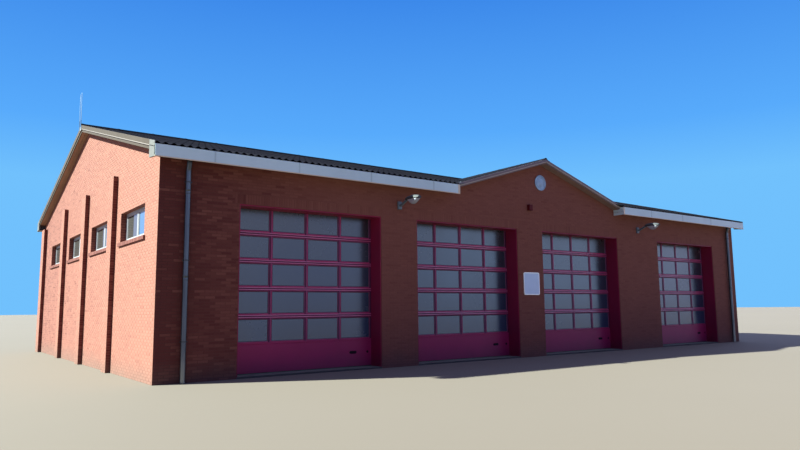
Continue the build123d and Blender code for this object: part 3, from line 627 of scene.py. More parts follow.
# The CAD nodes that stay, by their finish
kept_nodes = {
    "mortar": ["right_gable_wall", "rear_wall", "left_pilasters", "right_pilasters", "rear_pilasters"],
    "front_mortar_with_painted_shade": ["left_gable_wall", "front_wall_head"] + [f"front_pier_{n}" for n in (1, 2, 3, 4, 5)],
    "concrete": ["floor_slab"],
    "fascia_paint": ["front_fascia_left", "front_fascia_right"],
    "rear_fascia_paint_darkened_for_sun": ["rear_fascia"],
    "lining_paint": [f"door_{n}_lining" for n in (1, 2, 3, 4)],
    "section_paint": [f"door_{n}_sections" for n in (1, 2, 3, 4)],
    "door_glass": ["door_panes"],
    "black_rubber": ["door_seals"],
    "galvanised_steel": ["door_tracks", "door_hinges", "door_spring_shafts"],
    "window_frame_paint": [f"{side}_window_frames" for side in ("left", "right", "rear")],
    "window_glass": [f"{side}_window_glass" for side in ("left", "right", "rear")],
    "truss_timber": [f"roof_truss_{n}" for n in (1, 2, 3)],
}
for look, names in kept_nodes.items():
    for name in names:
        materials = nodes[name].data.materials
        materials.clear()
        materials.append(looks[look])


# Brickwork

def split_cells(cells, gap):
    """Cuts a rectangular gap out of cells, each given as start, end, foot and top."""
    gap_start, gap_end, gap_foot, gap_top = gap
    left_over = []
    for start, end, foot, top in cells:
        if gap_end <= start or gap_start >= end or gap_top <= foot or gap_foot >= top:
            left_over.append((start, end, foot, top))
            continue
        if gap_start > start:
            left_over.append((start, gap_start, foot, top))
        if gap_end < end:
            left_over.append((gap_end, end, foot, top))
        inner = (max(start, gap_start), min(end, gap_end))
        if gap_foot - foot > mortar_joint:
            left_over.append((*inner, foot, gap_foot))
        if top - gap_top > mortar_joint:
            left_over.append((*inner, gap_top, top))
    return left_over


def brick_tone(middle, spread=tone_spread):
    return float(np.clip(random_numbers.normal(middle, spread), 0, 1))


class WallFace:
    """One flat face of a wall: lays bricks on it, by distance along it and height up it."""

    def __init__(self, draft, origin, along, outward, up=upward, tone=lambda u: 0.5):
        self.draft = draft
        self.tone = tone
        self.origin, self.along, self.outward, self.up = (Vector(v) for v in (origin, along, outward, up))

    def brick(self, start, end, foot, top, top_line=None):
        """One brick, with its top cut to a sloping line where there is one."""
        proud = brick_proud + 0.001 * (random_numbers.random() - 0.5)
        tone = brick_tone(self.tone((start + end) / 2))
        start_top = end_top = top
        if top_line:
            start_top, end_top = (min(top, top_line(u)) for u in (start, end))
            if max(start_top, end_top) < foot + mortar_joint:
                return
            start_top, end_top = (max(z, foot + smallest_height) for z in (start_top, end_top))

        def outline(edge, out):
            return [self.origin + self.along * u + self.up * v + self.outward * out for u, v in (
                (start + edge, foot + edge), (end - edge, foot + edge),
                (end - edge, end_top - edge), (start + edge, start_top - edge))]

        self.draft.block(outline(0, -brick_sunk), outline(brick_edge, proud), tone)

    def running_bond(self, length, height, gaps=(), top_line=None, shift=0.0, foot=0.0):
        """Courses of stretchers, each half a brick along from the one below."""
        for course in range(int(foot / course_pitch), int(height / course_pitch) + 1):
            low = course * course_pitch
            cells = [(0.0, length, max(low, foot), min(low + brick_height, height))]
            for gap in gaps:
                cells = split_cells(cells, gap)
            offset = shift + (course % 2) * brick_pitch / 2 - brick_pitch
            for start, end, cell_foot, cell_top in cells:
                if cell_top - cell_foot < mortar_joint:
                    continue
                number = int((start - offset) / brick_pitch)
                while offset + number * brick_pitch < end:
                    first = max(start, offset + number * brick_pitch)
                    last = min(end, offset + number * brick_pitch + brick_length)
                    if last - first > smallest_cut:
                        self.brick(first, last, cell_foot, cell_top, top_line)
                    number += 1

    def soldiers(self, start, end, foot, top):
        """Bricks side by side on end, over an opening or along an edge."""
        count = round((end - start) / course_pitch)
        pitch = (end - start) / count
        for number in range(count):
            first = start + number * pitch + mortar_joint / 2
            self.brick(first, start + (number + 1) * pitch - mortar_joint / 2, foot, top)


def lay_front():
    """The front's bricks, with soldier courses over the doorways."""
    draft = Draft()
    # The bricks by the left corner and its downpipe are darker: painted shade
    face = WallFace(draft, (left, front, 0), across, -deep, tone=lambda u: min(0.5, 0.11 * u - 0.06))
    gaps = []
    for low, high in door_linings:
        start, end, head = low.x - left, high.x - left, high.z
        ears = (start - soldier_ear, end + soldier_ear)
        gaps += [(start, end, 0, head), (*ears, head, head + brick_length + mortar_joint)]
        face.soldiers(*ears, head + mortar_joint / 2, head + brick_length)

    def top_line(u):
        x = left + u
        if abs(x) > cross_half_span:
            return front_soffit
        return max(front_soffit, cross_underside(x) - small_board_height)

    face.running_bond(right - left, cross_underside(0), gaps, top_line)
    draft.piece("front_brickwork", "red_brick", "brick")


def lay_wall(wall, length, height, top_line=None, shift=0.0, tone=lambda u: 0.5, painted_shade_tone=0.5,
             apart=True):
    """Bricks on a wall, on its pilasters and in its window reveals, as pieces apart or as one."""
    along, outward = wall.at(1, 0, 0), wall.at(0, wall.outward, 0)
    inward = -Vector(outward)
    face = Draft()
    edges, reveals = (Draft(), Draft()) if apart else (face, face)
    windows, sills, pilasters = (solid_boxes(f"{wall.name}_{part}")
                                 for part in ("window_frames", "window_sills", "pilasters"))
    gaps = []
    for low, high in windows + sills + pilasters:
        start, end = wall.ends(low, high)
        foot = 0 if (low, high) in pilasters else low.z
        gaps.append((start - wall.start, end - wall.start, foot, high.z))
    WallFace(face, wall.at(wall.start, wall.plane, 0), along, outward, tone=tone).running_bond(
        length, height, gaps, top_line, shift)
    for low, high in pilasters:
        start, end = wall.ends(low, high)
        outer, inner = wall.sides(low, high)
        WallFace(edges, wall.at(start, outer, 0), along, outward).running_bond(end - start, high.z)
        # The pilasters' sides take one tone: on the gables a dark one, as painted shade
        for edge, normal in ((start, -1), (end, 1)):
            side = WallFace(edges, wall.at(edge, outer, 0), inward, wall.at(normal, 0, 0),
                            tone=lambda u: painted_shade_tone)
            side.running_bond(abs(outer - inner), high.z, shift=brick_pitch / 2)
    for low, high in windows:
        start, end = wall.ends(low, high)
        reveal = abs(wall.sides(low, high)[0] - wall.plane)
        for edge, normal in ((start, 1), (end, -1)):
            side = WallFace(reveals, wall.at(edge, wall.plane, 0), inward, wall.at(normal, 0, 0))
            side.running_bond(reveal, high.z, foot=low.z)
        head = WallFace(reveals, wall.at(start, wall.plane, high.z), along, -upward, inward)
        head.soldiers(0, end - start, 0.002, reveal)
    face.piece(f"{wall.name}_brickwork", "red_brick", "brick")
    if apart:
        edges.piece(f"{wall.name}_pilaster_bricks", "red_brick", "brick")
        reveals.piece(f"{wall.name}_reveal_bricks", "red_brick", "brick")


def lay_sills(wall):
    """Sloping sills of bricks on edge, over a bed of mortar."""
    bricks = Draft()
    bed = Draft()
    step = Vector(wall.at(1, 0, 0))
    for low, high in solid_boxes(f"{wall.name}_window_sills"):
        start, end = wall.ends(low, high)
        outer, inner = wall.sides(low, high)
        corners = [Vector(wall.at(start, depth, z)) for depth, z in (
            (outer, low.z), (outer, high.z - sill_fall), (inner, high.z), (inner, low.z))]
        centre = sum(corners, Vector()) / 4
        bed.prism([c + (centre - c).normalized() * 0.006 + step * 0.004 for c in corners],
                  step * (end - start - 0.008))
        count = round((end - start) / course_pitch)
        pitch = (end - start) / count
        for number in range(count):
            shift = step * (number * pitch + mortar_joint / 2)
            bricks.prism([c + shift for c in corners], step * (pitch - mortar_joint), brick_tone(0.04, 0.08))
    bricks.piece(f"{wall.name}_sill_bricks", "red_brick", "brick", replaces=[f"{wall.name}_window_sills"])
    bed.piece(f"{wall.name}_sill_mortar", "mortar", "brick")


# Roof

def corrugated(name, node, start, end, eave, underside, point):
    """Courses of corrugated sheets up a slope, in place of a CAD node.

    start, end: from where to where across the waves. eave(place): the slope's lower end there, as
    a distance from the ridge. point(place, distance, z): a point on the slope.
    """
    draft = Draft()
    count = round((end - start) / wave_pitch * wave_steps)
    places = [start + (end - start) * i / count for i in range(count + 1)]
    reach = max(eave(place) for place in places)
    courses = max(1, round(reach / sheet_reach))
    length = reach / courses
    for course in range(courses):
        outer_end = reach - course * length
        inner = max(0.0, outer_end - length - (sheet_lap if course < courses - 1 else 0))
        strips = [[]]
        for place in places:
            outer = min(outer_end, eave(place))
            if outer - inner < shortest_sheet:
                strips.append([])
                continue
            rise = wave_height / 2 * (1 + cos(2 * pi * place / wave_pitch)) + sheet_clearance
            lift = sheet_lift * (outer - inner) / (length + sheet_lap) if course else sheet_lift / 2
            low_z = underside(outer) + rise + lift
            high_z = underside(inner) + rise
            strips[-1].append([point(place, outer, low_z), point(place, inner, high_z),
                               point(place, inner, high_z + sheet_thickness),
                               point(place, outer, low_z + sheet_thickness)])
        for strip in strips:
            if len(strip) > 1:
                draft.rings(strip, float(random_numbers.random()))
    draft.piece(name, "fibre_cement", "roof_sheet", smooth=40, replaces=[node])


def main_slope(name, side):
    """The sheets of the front or the rear slope. Those of the front end at the valleys."""
    def eave(x):
        if side > 0 or abs(x) >= cross_half_span:
            return eave_line
        return min(eave_line, -cross_ridge_end + valley_run * abs(x) / cross_half_span - valley_gap)

    end = verge_line - board_thickness - 0.001
    corrugated(f"{name}_corrugated_sheets", f"{name}_roof_slope", -end, end, eave, main_underside,
               lambda x, distance, z: (x, side * distance, z))


def small_slope(name, side):
    """The sheets of one slope of the small gable, which run out in its valley."""
    def eave(y):
        return max(0.0, (cross_ridge_end - y) * cross_half_span / valley_run - valley_gap)

    corrugated(f"small_gable_sheets_{name}", f"cross_roof_{name}", cross_front + board_thickness + 0.001,
               cross_ridge_end, eave, cross_underside, lambda y, distance, z: (side * distance, y, z))


def valley_flashings():
    """Folded metal in both valleys, under the ends of the sheets."""
    draft = Draft()
    foot = Vector((cross_half_span, -eave_line, eave_height))
    head = Vector((0, cross_ridge_end, main_underside(cross_ridge_end)))
    for side in (-1, 1):
        rings = []
        for share in (0.0, 0.2, 0.4, 0.6, 0.8, 1.0):
            x, y, z = foot.lerp(head, share)
            inner = max(0.0, x - valley_wing)
            fold = [(side * (x + valley_wing), y, main_underside(y) + flashing_lift),
                    (side * x, y, z + 0.004), (side * inner, y, cross_underside(inner) + flashing_lift)]
            rings.append(fold + [(fx, fy, fz + flashing_thickness) for fx, fy, fz in reversed(fold)])
        draft.rings(rings)
    draft.piece("valley_flashings", "lead_sheet", "galvanised", smooth=30)


def ridge_cover(name, node, at, start, end, underside):
    """Rounded ridge pieces, each with a wider end over the one before."""
    draft = Draft()
    count = round((end - start) / ridge_length)
    steps = 12
    for number in range(count):
        first = start + (end - start) * number / count
        last = start + (end - start) * (number + 1) / count + (ridge_lap if number < count - 1 else 0)
        rings = []
        for share, swell in ((0.0, 0.006), (0.06, 0.006), (0.07, 0.0), (1.0, 0.0)):
            lower = []
            for i in range(steps + 1):
                offset = -ridge_wing + 2 * ridge_wing * i / steps
                roll = roll_height * sqrt(max(0.0, 1 - abs(offset) / roll_reach))
                lower.append((offset, underside(offset) + ridge_lift + roll + swell))
            upper = [(offset, height + ridge_thickness) for offset, height in lower]
            rings.append([at(first + (last - first) * share, *corner) for corner in upper + lower[::-1]])
        draft.rings(rings, float(random_numbers.random()))
    draft.piece(name, "fibre_cement", "roof_sheet", smooth=40, replaces=[node])


# Boards at the verges and eaves

def verge_boards(name, node, wall, plane, reach, wall_reach, underside, depths, paints, feet=()):
    """Stepped boards on a gable, with the soffit boards behind them."""
    inward = -wall.outward
    upper, lower = depths
    boards, trim, ends, soffit = Draft(), Draft(), Draft(), Draft()

    def band(half, top, foot):
        """Outline of a board along both slopes, by its depths under the sheets."""
        return ([(u, underside(u) - top) for u in (-half, 0, half)]
                + [(u, underside(u) - foot) for u in (half, 0, -half)])

    def board(draft, outline, depth, thickness):
        draft.prism([wall.at(u, depth, z) for u, z in outline], wall.at(0, inward * thickness, 0))

    second = plane + inward * board_thickness
    board(boards, band(reach, -board_rise, upper), plane, board_thickness)
    board(boards, band(reach, 0.0, lower - 0.002), second, board_thickness)
    # A light bead along the foot of the upper board, and deep end boards at the eaves
    bead_plane = plane - inward * trim_proud
    board(trim, band(reach, upper - 0.014, upper + 0.008), bead_plane, 0.026)
    for foot, top in feet:
        board(ends, foot, bead_plane, 2 * board_thickness + trim_proud)
        board(ends, top, bead_plane, board_thickness)
    start = second + inward * board_thickness
    width = abs(wall.plane - start)
    count = max(2, round(width / soffit_board_width))
    for number in range(count):
        board(soffit, band(wall_reach, lower - 0.02, lower), start + inward * width * number / count,
              width / count - 0.004)
    boards.piece(f"{name}_verge_boards", paints[0], "barge_board", bevel=0.003, replaces=[node])
    trim.piece(f"{name}_verge_trim", paints[1], "barge_board", bevel=0.003)
    if feet:
        ends.piece(f"{name}_eave_ends", "barge_end_paint_darkened_for_sun", "barge_board", bevel=0.003)
    soffit.piece(f"{name}_verge_soffit", paints[2], "barge_board", bevel=0.002)


def eave_feet():
    """Outlines of the end boards that close both ends of the eaves."""
    outer = eave_line - 0.01
    inner = abs(front) + 0.02
    feet = []
    for side in (-1, 1):
        middle = [(side * place, main_underside(place) - 0.001) for place in (inner, outer)]
        feet.append(([(side * outer, soffit_level - 0.004), (side * inner, soffit_level + 0.035)] + middle,
                     [(place, z + board_rise) for place, z in reversed(middle)] + middle))
    return feet


def fascia_details(name, fascias, side, strip_paint, bead_look):
    """Cover strips over the joints of the fascia boards, and beads along their edges."""
    strips = Draft()
    beads = Draft()
    outer = side * eave_line
    near, far = outer - side * 0.012, outer + side * 0.007
    head = eave_height - fascia_head_gap
    for node in fascias:
        low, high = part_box(node)
        joint = -fascia_joint_start
        while joint < fascia_joint_start + 0.1:
            if low.x + 0.2 < joint < high.x - 0.2:
                strips.box((joint - joint_strip_half, outer, soffit_level + bead_top),
                           (joint + joint_strip_half, outer + side * joint_strip_proud, head))
            joint += fascia_joint_pitch
        beads.box((low.x + 0.001, near, soffit_level - 0.004), (high.x - 0.001, far, soffit_level + 0.018))
        for end, inward in ((low.x, 1), (high.x, -1)):
            if abs(end) < cross_half_span + 0.1:
                beads.box((end + inward * 0.002, near, soffit_level + bead_top),
                          (end + inward * 0.07, far, head))
    strips.piece(f"{name}_fascia_joint_strips", strip_paint, "white_board", bevel=0.0015)
    beads.piece(f"{name}_fascia_foot_beads", bead_look, "white_board", bevel=0.002)


def front_eaves(name, side):
    """A front fascia board, the soffit boards behind it, and the end board at the small gable."""
    gable_end = side * cross_half_span
    verge_end = side * (verge_line - 0.012)
    start, end = sorted((gable_end, verge_end))
    inner = -eave_line + board_thickness
    foot = front_soffit if side < 0 else soffit_level
    board = Draft()
    board.prism([(start, -eave_line, soffit_level), (start, -eave_line, eave_height),
                 (start, inner, main_underside(inner) - 0.001), (start, inner, soffit_level)],
                (end - start, 0, 0))
    board.prism([(gable_end, inner, foot), (gable_end, inner, eave_height - 0.01),
                 (gable_end, front, eave_height + 0.04), (gable_end, front, foot)],
                (side * board_thickness, 0, 0))
    board.piece(f"{name}_fascia_boards", "fascia_paint", "white_board", bevel=0.002,
                replaces=[f"front_fascia_{name}"])
    soffit = Draft()
    count = 5
    depth = (front - inner) / count
    for number in range(count):
        near = inner + depth * number
        soffit.box((gable_end, near + 0.001, front_soffit),
                   (verge_end - side * 0.05, near + depth - 0.003, front_soffit + 0.018))
    soffit.piece(f"{name}_eaves_soffit", "soffit_paint", "white_board", bevel=0.002)


# Overhead doors

def bead_ring(draft, low, high, outer_y, inner_y, inset):
    """A mitred bead round an opening, which slopes from its front edge back to the pane."""
    draft.frame((low.x, low.z), (high.x, high.z), (
        (0, outer_y), (0, inner_y), (inset, inner_y), (inset * 0.55, outer_y + 0.0015)), front_wall.at)


def door_glazing(number, lining, panes, glazing):
    """The panes, with more painted sky reflection in the lower ones, and their beads and gaskets."""
    pane_front = panes[0][0].y
    beads = Draft()
    gaskets = Draft()
    edge = Vector((0.012, 0, 0.012))
    for low, high in panes:
        row = (low.z - lining[0].z) / (lining[1].z - lining[0].z)
        # Painted reflection: the lower rows take more of the sky colour
        glazing.box(low, high, min(1.0, max(0.0, 1.25 - 1.4 * row)))
        bead_ring(beads, low, high, leaf_front - 0.003, pane_front, 0.014)
        bead_ring(gaskets, low + edge, high - edge, pane_front - 0.005, pane_front + 0.001, 0.012)
    beads.piece(f"door_{number}_glazing_beads", "glazing_bead_paint", "red_section")
    gaskets.piece(f"door_{number}_gaskets", "black_rubber", "rubber_seal")


def door_rails(number, panes):
    """Ribs, and dark strips: painted shade by the mullions, under the lower rib of each joint and over the
    right-hand stile, and a dark seam along each joint.
    """
    leaf_low, leaf_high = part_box(f"door_{number}_sections")
    rail_start, rail_end = leaf_low.x + rail_inset, leaf_high.x - rail_inset
    ribs, mullions, shade_and_seam_strips = Draft(), Draft(), Draft()
    starts, ends, foots, tops = (sorted({round(pane[corner][axis], 3) for pane in panes})
                                 for axis in (0, 2) for corner in (0, 1))

    def strip(draft, start, end, foot, top, proud):
        draft.box((start, leaf_front - proud, foot), (end, leaf_front + 0.002, top))

    for end, start in zip(ends[:-1], starts[1:]):
        middle = (end + start) / 2
        for foot, top in zip(foots, tops):
            strip(mullions, middle + 0.002, middle + 0.02, foot - 0.03, top + 0.03, mullion_proud)
            # Painted shade on the left half of each mullion
            strip(shade_and_seam_strips, end + 0.001, middle - 0.004, foot - 0.02, top + 0.02, shade_strip_proud)
    # A rounded bead along both edges of each section joint, lighter than the sections: a painted highlight
    for top, foot in zip(tops[:-1], foots[1:]):
        joint = (top + foot) / 2
        for edge in (joint + 0.012, joint - 0.036):
            ribs.prism([(rail_start, leaf_front + depth, edge + rise) for depth, rise in (
                (0.001, 0.0), (-0.008, 0.003), (-0.003, 0.02), (0.001, 0.024))],
                (rail_end - rail_start, 0, 0))
        strip(shade_and_seam_strips, rail_start, rail_end, joint - 0.01, joint + 0.01, seam_and_shade_strip_proud)
        # Painted shade under the lower rib
        strip(shade_and_seam_strips, rail_start, rail_end, top + 0.002, top + 0.018, seam_and_shade_strip_proud)
    for foot, top in zip(foots, tops):
        # Painted shade over the right-hand stile
        strip(shade_and_seam_strips, ends[-1] + 0.002, leaf_high.x - 0.004, foot - 0.02, top + 0.02, shade_strip_proud)
    ribs.piece(f"door_{number}_ribs", "highlight_rib_paint", "red_section", bevel=0.0015)
    mullions.piece(f"door_{number}_mullion_ribs", "glazing_bead_paint", "red_section", bevel=0.0015)
    shade_and_seam_strips.piece(f"door_{number}_grooves", "shade_and_seam_paint", "red_section", bevel=0.001)


def grip_and_lock(number):
    """An oval grip with a raised rim and a round lock beside it."""
    leaf_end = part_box(f"door_{number}_sections")[1].x
    level = 0.415
    grip_inset, lock_inset = 0.65, 0.2
    half_length = 0.072
    steps = 20
    rings = []
    for radius, depth in ((0.038, 0.002), (0.038, -0.003), (0.034, -0.006), (0.028, -0.006), (0.026, -0.001)):
        ring = []
        for i in range(steps):
            turn = 2 * pi * (i + 0.5) / steps
            middle = leaf_end - grip_inset + (half_length if cos(turn) > 0 else -half_length)
            ring.append((middle + radius * cos(turn), leaf_front + depth, level + radius * sin(turn)))
        rings.append(ring)
    hardware = Draft()
    hardware.rings(rings)
    hardware.turned((leaf_end - lock_inset, leaf_front, level), deep, lock_profile, steps)
    hardware.piece(f"door_{number}_grip_and_lock", "grip_black", "rubber_seal", smooth=40)


# Windows

def window_details(wall):
    """Sashes with their rubber seals in front of the glass, two lights to a window."""
    sashes, seals, panes = Draft(), Draft(), Draft()
    for number, (low, high) in enumerate(solid_boxes(f"{wall.name}_window_glass")):
        # Painted reflection: every other light takes the sky colour
        panes.box(low, high, 1 - number % 2)
        start, end = wall.ends(low, high)
        face = wall.sides(low, high)[0]
        for draft, margin, width, proud in ((sashes, -0.004, 0.034, 0.016), (seals, 0.028, 0.008, 0.004)):
            section = [(inset, face + wall.outward * out) for inset, out in (
                (margin, -0.002), (margin, proud), (margin + width * 0.7, proud),
                (margin + width, proud * 0.35), (margin + width, -0.002))]
            draft.frame((start, low.z), (end, high.z), section, wall.at)
    sashes.piece(f"{wall.name}_window_sashes", "window_frame_paint", "window_frame", bevel=0.0015)
    seals.piece(f"{wall.name}_window_seals", "black_rubber", "rubber_seal")
    panes.piece(f"{wall.name}_window_panes", "window_glass", "window_glass",
                replaces=[f"{wall.name}_window_glass"])


# Downpipes

def downpipe(name, node, places, side, rise=0.0):
    """Pipes with sockets and rolled rings, held to the wall by straps."""
    pipes = Draft()
    straps = Draft()
    low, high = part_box(node)
    wall = side * abs(front)
    axis_y = wall + side * pipe_stand
    outlet = wall + side * outlet_stand
    bend = (outlet - axis_y) * 0.1

    def collar(draft, x, foot, profile):
        draft.turned((x, axis_y, foot), upward, [(z, pipe_radius + swell) for z, swell in profile], 24)

    for x in places:
        pipes.tube([(x, axis_y, low.z), (x, axis_y, high.z - 0.2), (x, axis_y, high.z - 0.18),
                    (x, axis_y + bend, high.z - 0.15), (x, outlet - bend, high.z - 0.03),
                    (x, outlet, high.z), (x, outlet, high.z + rise)], pipe_radius, 24)
        for foot, profile in pipe_collars:
            collar(pipes, x, foot, profile)
        for foot in (*strap_heights, high.z - top_strap_drop):
            collar(straps, x, foot, strap_profile)
            bottom, top = foot - 0.032, foot - 0.008
            straps.box((x - 0.008, wall, bottom), (x + 0.008, axis_y - side * pipe_radius, top))
            for lug in (-1, 1):
                straps.box((x + lug * (pipe_radius + 0.002), axis_y - 0.006, bottom),
                           (x + lug * (pipe_radius + 0.026), axis_y + 0.006, top))
    pipes.piece(name, "pipe_zinc", "downpipe", smooth=35, replaces=[node])
    straps.piece(f"{name}_straps", "lead_sheet", "galvanised", smooth=35)


# Fittings

def wall_lamp(name, node):
    """A lamp head on a bent arm. The head swells and narrows again along its length."""
    low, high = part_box(node)
    x = (low.x + high.x) / 2
    base_top = low.z + lamp_base_height
    base_level = (low.z + base_top) / 2
    head_level = high.z - lamp_head_drop
    head_start = front - lamp_arm_reach
    stations = 18
    around = 20

    def station(s):
        """Place along the head, and half its width there."""
        share = s / stations
        width = 0.045 + 0.065 * sin(pi * min(1, 0.12 + share * 0.86)) ** 0.6
        return head_start - (head_start - low.y) * share, width

    base, arm, housing, lens = Draft(), Draft(), Draft(), Draft()
    base.box((x - lamp_base_half, front - lamp_base_depth, low.z),
             (x + lamp_base_half, front + 0.002, base_top))
    arm.tube([(x, front - 0.03, base_level), (x, front - 0.1, base_level),
              (x, front - 0.14, base_level + 0.012), (x, head_start + 0.06, head_level - 0.02),
              (x, head_start, head_level), (x, head_start - 0.1, head_level)], lamp_arm_radius, 16)
    arm.turned((x, front, base_level), -deep, collar_profile, around)
    rings = []
    for s in range(stations + 1):
        place, width = station(s)
        depth = 0.028 + 0.07 * sin(pi * min(1, 0.15 + s / stations * 0.8)) ** 0.7
        turns = [2 * pi * i / around for i in range(around)]
        rings.append([(x + width * cos(turn), place,
                       head_level + depth * sin(turn) * (1 if turn < pi else 0.35)) for turn in turns])
    housing.rings(rings)
    rings = []
    for s in range(3, stations - 1):
        place, width = station(s)
        drop = 0.15 * max(0.12, sin(pi * (s - 2.6) / (stations - 4.2))) ** 0.6
        turns = [pi + pi * i / (around - 1) for i in range(around)]
        rings.append([(x + width * 0.84 * cos(turn), place, head_level - 0.004 + drop * sin(turn))
                      for turn in turns])
    lens.rings(rings)
    base.piece(f"{name}_base", "lamp_base_paint", "lamp", bevel=0.012, replaces=[node])
    arm.piece(f"{name}_arm", "lamp_base_paint", "lamp", smooth=40)
    housing.piece(f"{name}_housing", "lamp_metal", "lamp", smooth=50)
    lens.piece(f"{name}_lens", "lamp_lens", "lamp", smooth=50)


def alarm_box():
    """A box with a raised front and five slats."""
    low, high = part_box("alarm_box")
    draft = Draft()
    for inset, near, far in ((0.002, low.y + 0.012, high.y + 0.002), (0.014, low.y + 0.002, low.y + 0.014)):
        draft.box((low.x + inset, near, low.z + inset), (high.x - inset, far, high.z - inset))
    for slat in range(5):
        foot = low.z + 0.045 + slat * 0.022
        draft.prism([(low.x + 0.035, low.y + depth, foot + rise) for depth, rise in (
            (0.003, 0.0), (-0.001, 0.004), (0.003, 0.012))], (high.x - low.x - 0.07, 0, 0))
    draft.piece("siren_housing", "alarm_paint", "alarm_box", bevel=0.004, replaces=["alarm_box"])


def rounded_outline(centre, half_x, half_z, radius, steps=6):
    points = []
    for corner, (sx, sz) in enumerate(((1, 1), (-1, 1), (-1, -1), (1, -1))):
        for i in range(steps + 1):
            turn = pi / 2 * (corner + i / steps)
            points.append((centre.x + sx * (half_x - radius) + radius * cos(turn),
                           centre.z + sz * (half_z - radius) + radius * sin(turn)))
    return points


def sign():
    """The sign board, left bare: a pale sheet in a raised rounded frame, with corner screws."""
    low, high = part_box("sign_board")
    centre = (low + high) / 2
    half_x, half_z = (high.x - low.x) / 2 - 0.008, (high.z - low.z) / 2 - 0.02
    screw_inset = 0.055
    panel, rim, screws = Draft(), Draft(), Draft()
    outline = rounded_outline(centre, half_x - 0.012, half_z - 0.012, 0.05)
    panel.prism([(x, front + 0.002, z) for x, z in outline], (0, -0.02, 0))
    outer = rounded_outline(centre, half_x, half_z, 0.06)
    inner = rounded_outline(centre, half_x - 0.03, half_z - 0.03, 0.045)
    rim.rings([[(ox + (ix - ox) * share, front - depth, oz + (iz - oz) * share) for share, depth in (
        (0, -0.001), (0, 0.022), (0.2, 0.026), (0.7, 0.026), (1, 0.019), (1, -0.001))]
        for (ox, oz), (ix, iz) in zip(outer, inner)], closed=True)
    for sx in (-1, 1):
        for sz in (-1, 1):
            place = (centre.x + sx * (half_x - screw_inset), front, centre.z + sz * (half_z - screw_inset))
            screws.turned(place, -deep, screw_profile, 12)
    panel.piece("sign_panel", "sign_field", "sign_plate", smooth=35, replaces=["sign_board"])
    rim.piece("sign_frame", "sign_white", "sign_plate", smooth=35)
    screws.piece("sign_screws", "sign_edge", "sign_plate", smooth=35)


def badge():
    """A bare round plate on the small gable: a rim, two raised rings and a domed middle."""
    low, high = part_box("wall_badge")
    radius = (high.x - low.x) / 2
    profile = ((-0.002, 1.0), (0.022, 1.0), (0.03, 0.97), (0.03, 0.9), (0.018, 0.87), (0.016, 0.72),
               (0.024, 0.7), (0.024, 0.65), (0.016, 0.63), (0.018, 0.42), (0.026, 0.3), (0.03, 0.16),
               (0.031, 0.04))
    draft = Draft()
    draft.turned(((low.x + high.x) / 2, front, (low.z + high.z) / 2), -deep,
                 [(depth, radius * share) for depth, share in profile], 48)
    draft.piece("gable_plate", "badge_metal", "badge", smooth=30, replaces=["wall_badge"])


def aerial():
    """Two thin rods on one bracket, which both lean to the rear."""
    low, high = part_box("antenna")
    height = high.z - low.z
    rods = Draft()
    bracket = Draft()
    bracket.box((high.x - 0.008, -0.09, low.z), (high.x + 0.001, 0.17, low.z + 0.12))
    for y in (-0.07, 0.15):
        for foot in (low.z + 0.02, low.z + 0.085):
            bracket.box((low.x + 0.004, y - 0.014, foot), (high.x - 0.004, y + 0.014, foot + 0.016))
        rods.turned((low.x + 0.0095, y, low.z), (0, 0.07, 1),
                    ((0.002, 0.008), (0.3, 0.008), (0.302, 0.0095), (0.33, 0.0095), (0.332, 0.007),
                     (height - 0.02, 0.0055), (height - 0.002, 0.003)), 12)
    rods.piece("antenna_rods", "antenna_metal", "antenna", smooth=40, replaces=["antenna"])
    bracket.piece("antenna_bracket", "galvanised_steel", "galvanised", bevel=0.001)


# Put it all together
walls = (left_wall, right_wall, rear_wall)
lay_front()
# The gables' bricks darken towards the rear, and their pilasters' sides are dark bricks: painted shade
for wall in (left_wall, right_wall):
    lay_wall(wall, rear - front, main_underside(0), lambda u: main_underside(front + u) - board_height,
             brick_pitch / 2, lambda u: 0.54 - 0.027 * u, painted_shade_tone=0.05)
lay_wall(rear_wall, right - left, soffit_level, apart=False)
for wall in walls:
    lay_sills(wall)
main_slope("front", -1)
main_slope("rear", 1)
small_slope("left", -1)
small_slope("right", 1)
valley_flashings()
ridge_cover("main_ridge_pieces", "main_ridge_cap", front_wall.at, -verge_line, verge_line, main_underside)
ridge_cover("small_ridge_pieces", "cross_ridge_cap", left_wall.at, cross_front, cross_ridge_end,
            cross_underside)
for wall in (left_wall, right_wall):
    verge_boards(wall.name, f"{wall.name}_bargeboards", wall, wall.outward * verge_line,
                 eave_line - board_thickness, abs(front), main_underside, (upper_board_height, board_height),
                 ("barge_paint_darkened_for_sun", "barge_trim_paint_darkened_for_sun", "soffit_paint"), eave_feet())
verge_boards("small_gable", "cross_bargeboards", front_wall, cross_front, cross_half_span, cross_half_span,
             cross_underside, (small_upper_height, small_board_height),
             ("small_gable_paint_lightened_for_shade", "small_gable_trim_paint", "small_gable_soffit_paint"))
fascia_details("front", ("front_fascia_left", "front_fascia_right"), -1, "joint_paint", "eave_bead_painted_warm_light")
fascia_details("rear", ("rear_fascia",), 1, "rear_joint_paint_darkened_for_sun", "rear_bead_paint_darkened_for_sun")
front_eaves("left", -1)
front_eaves("right", 1)
all_glazing = Draft()
for number, lining in enumerate(door_linings, start=1):
    door_panes = [pane for pane in pane_boxes
                  if lining[0].x - 0.1 < pane[0].x and pane[1].x < lining[1].x + 0.1]
    door_glazing(number, lining, door_panes, all_glazing)
    door_rails(number, door_panes)
    grip_and_lock(number)
all_glazing.piece("door_glazing", "door_glass", "door_glass", replaces=["door_panes"])
for wall in walls:
    window_details(wall)
pipe_x = sum(corner.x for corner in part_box("front_downpipe_right")) / 2
for name, side in (("left", -1), ("right", 1)):
    downpipe(f"front_{name}_pipe", f"front_downpipe_{name}", [side * pipe_x], -1, front_soffit - soffit_level)
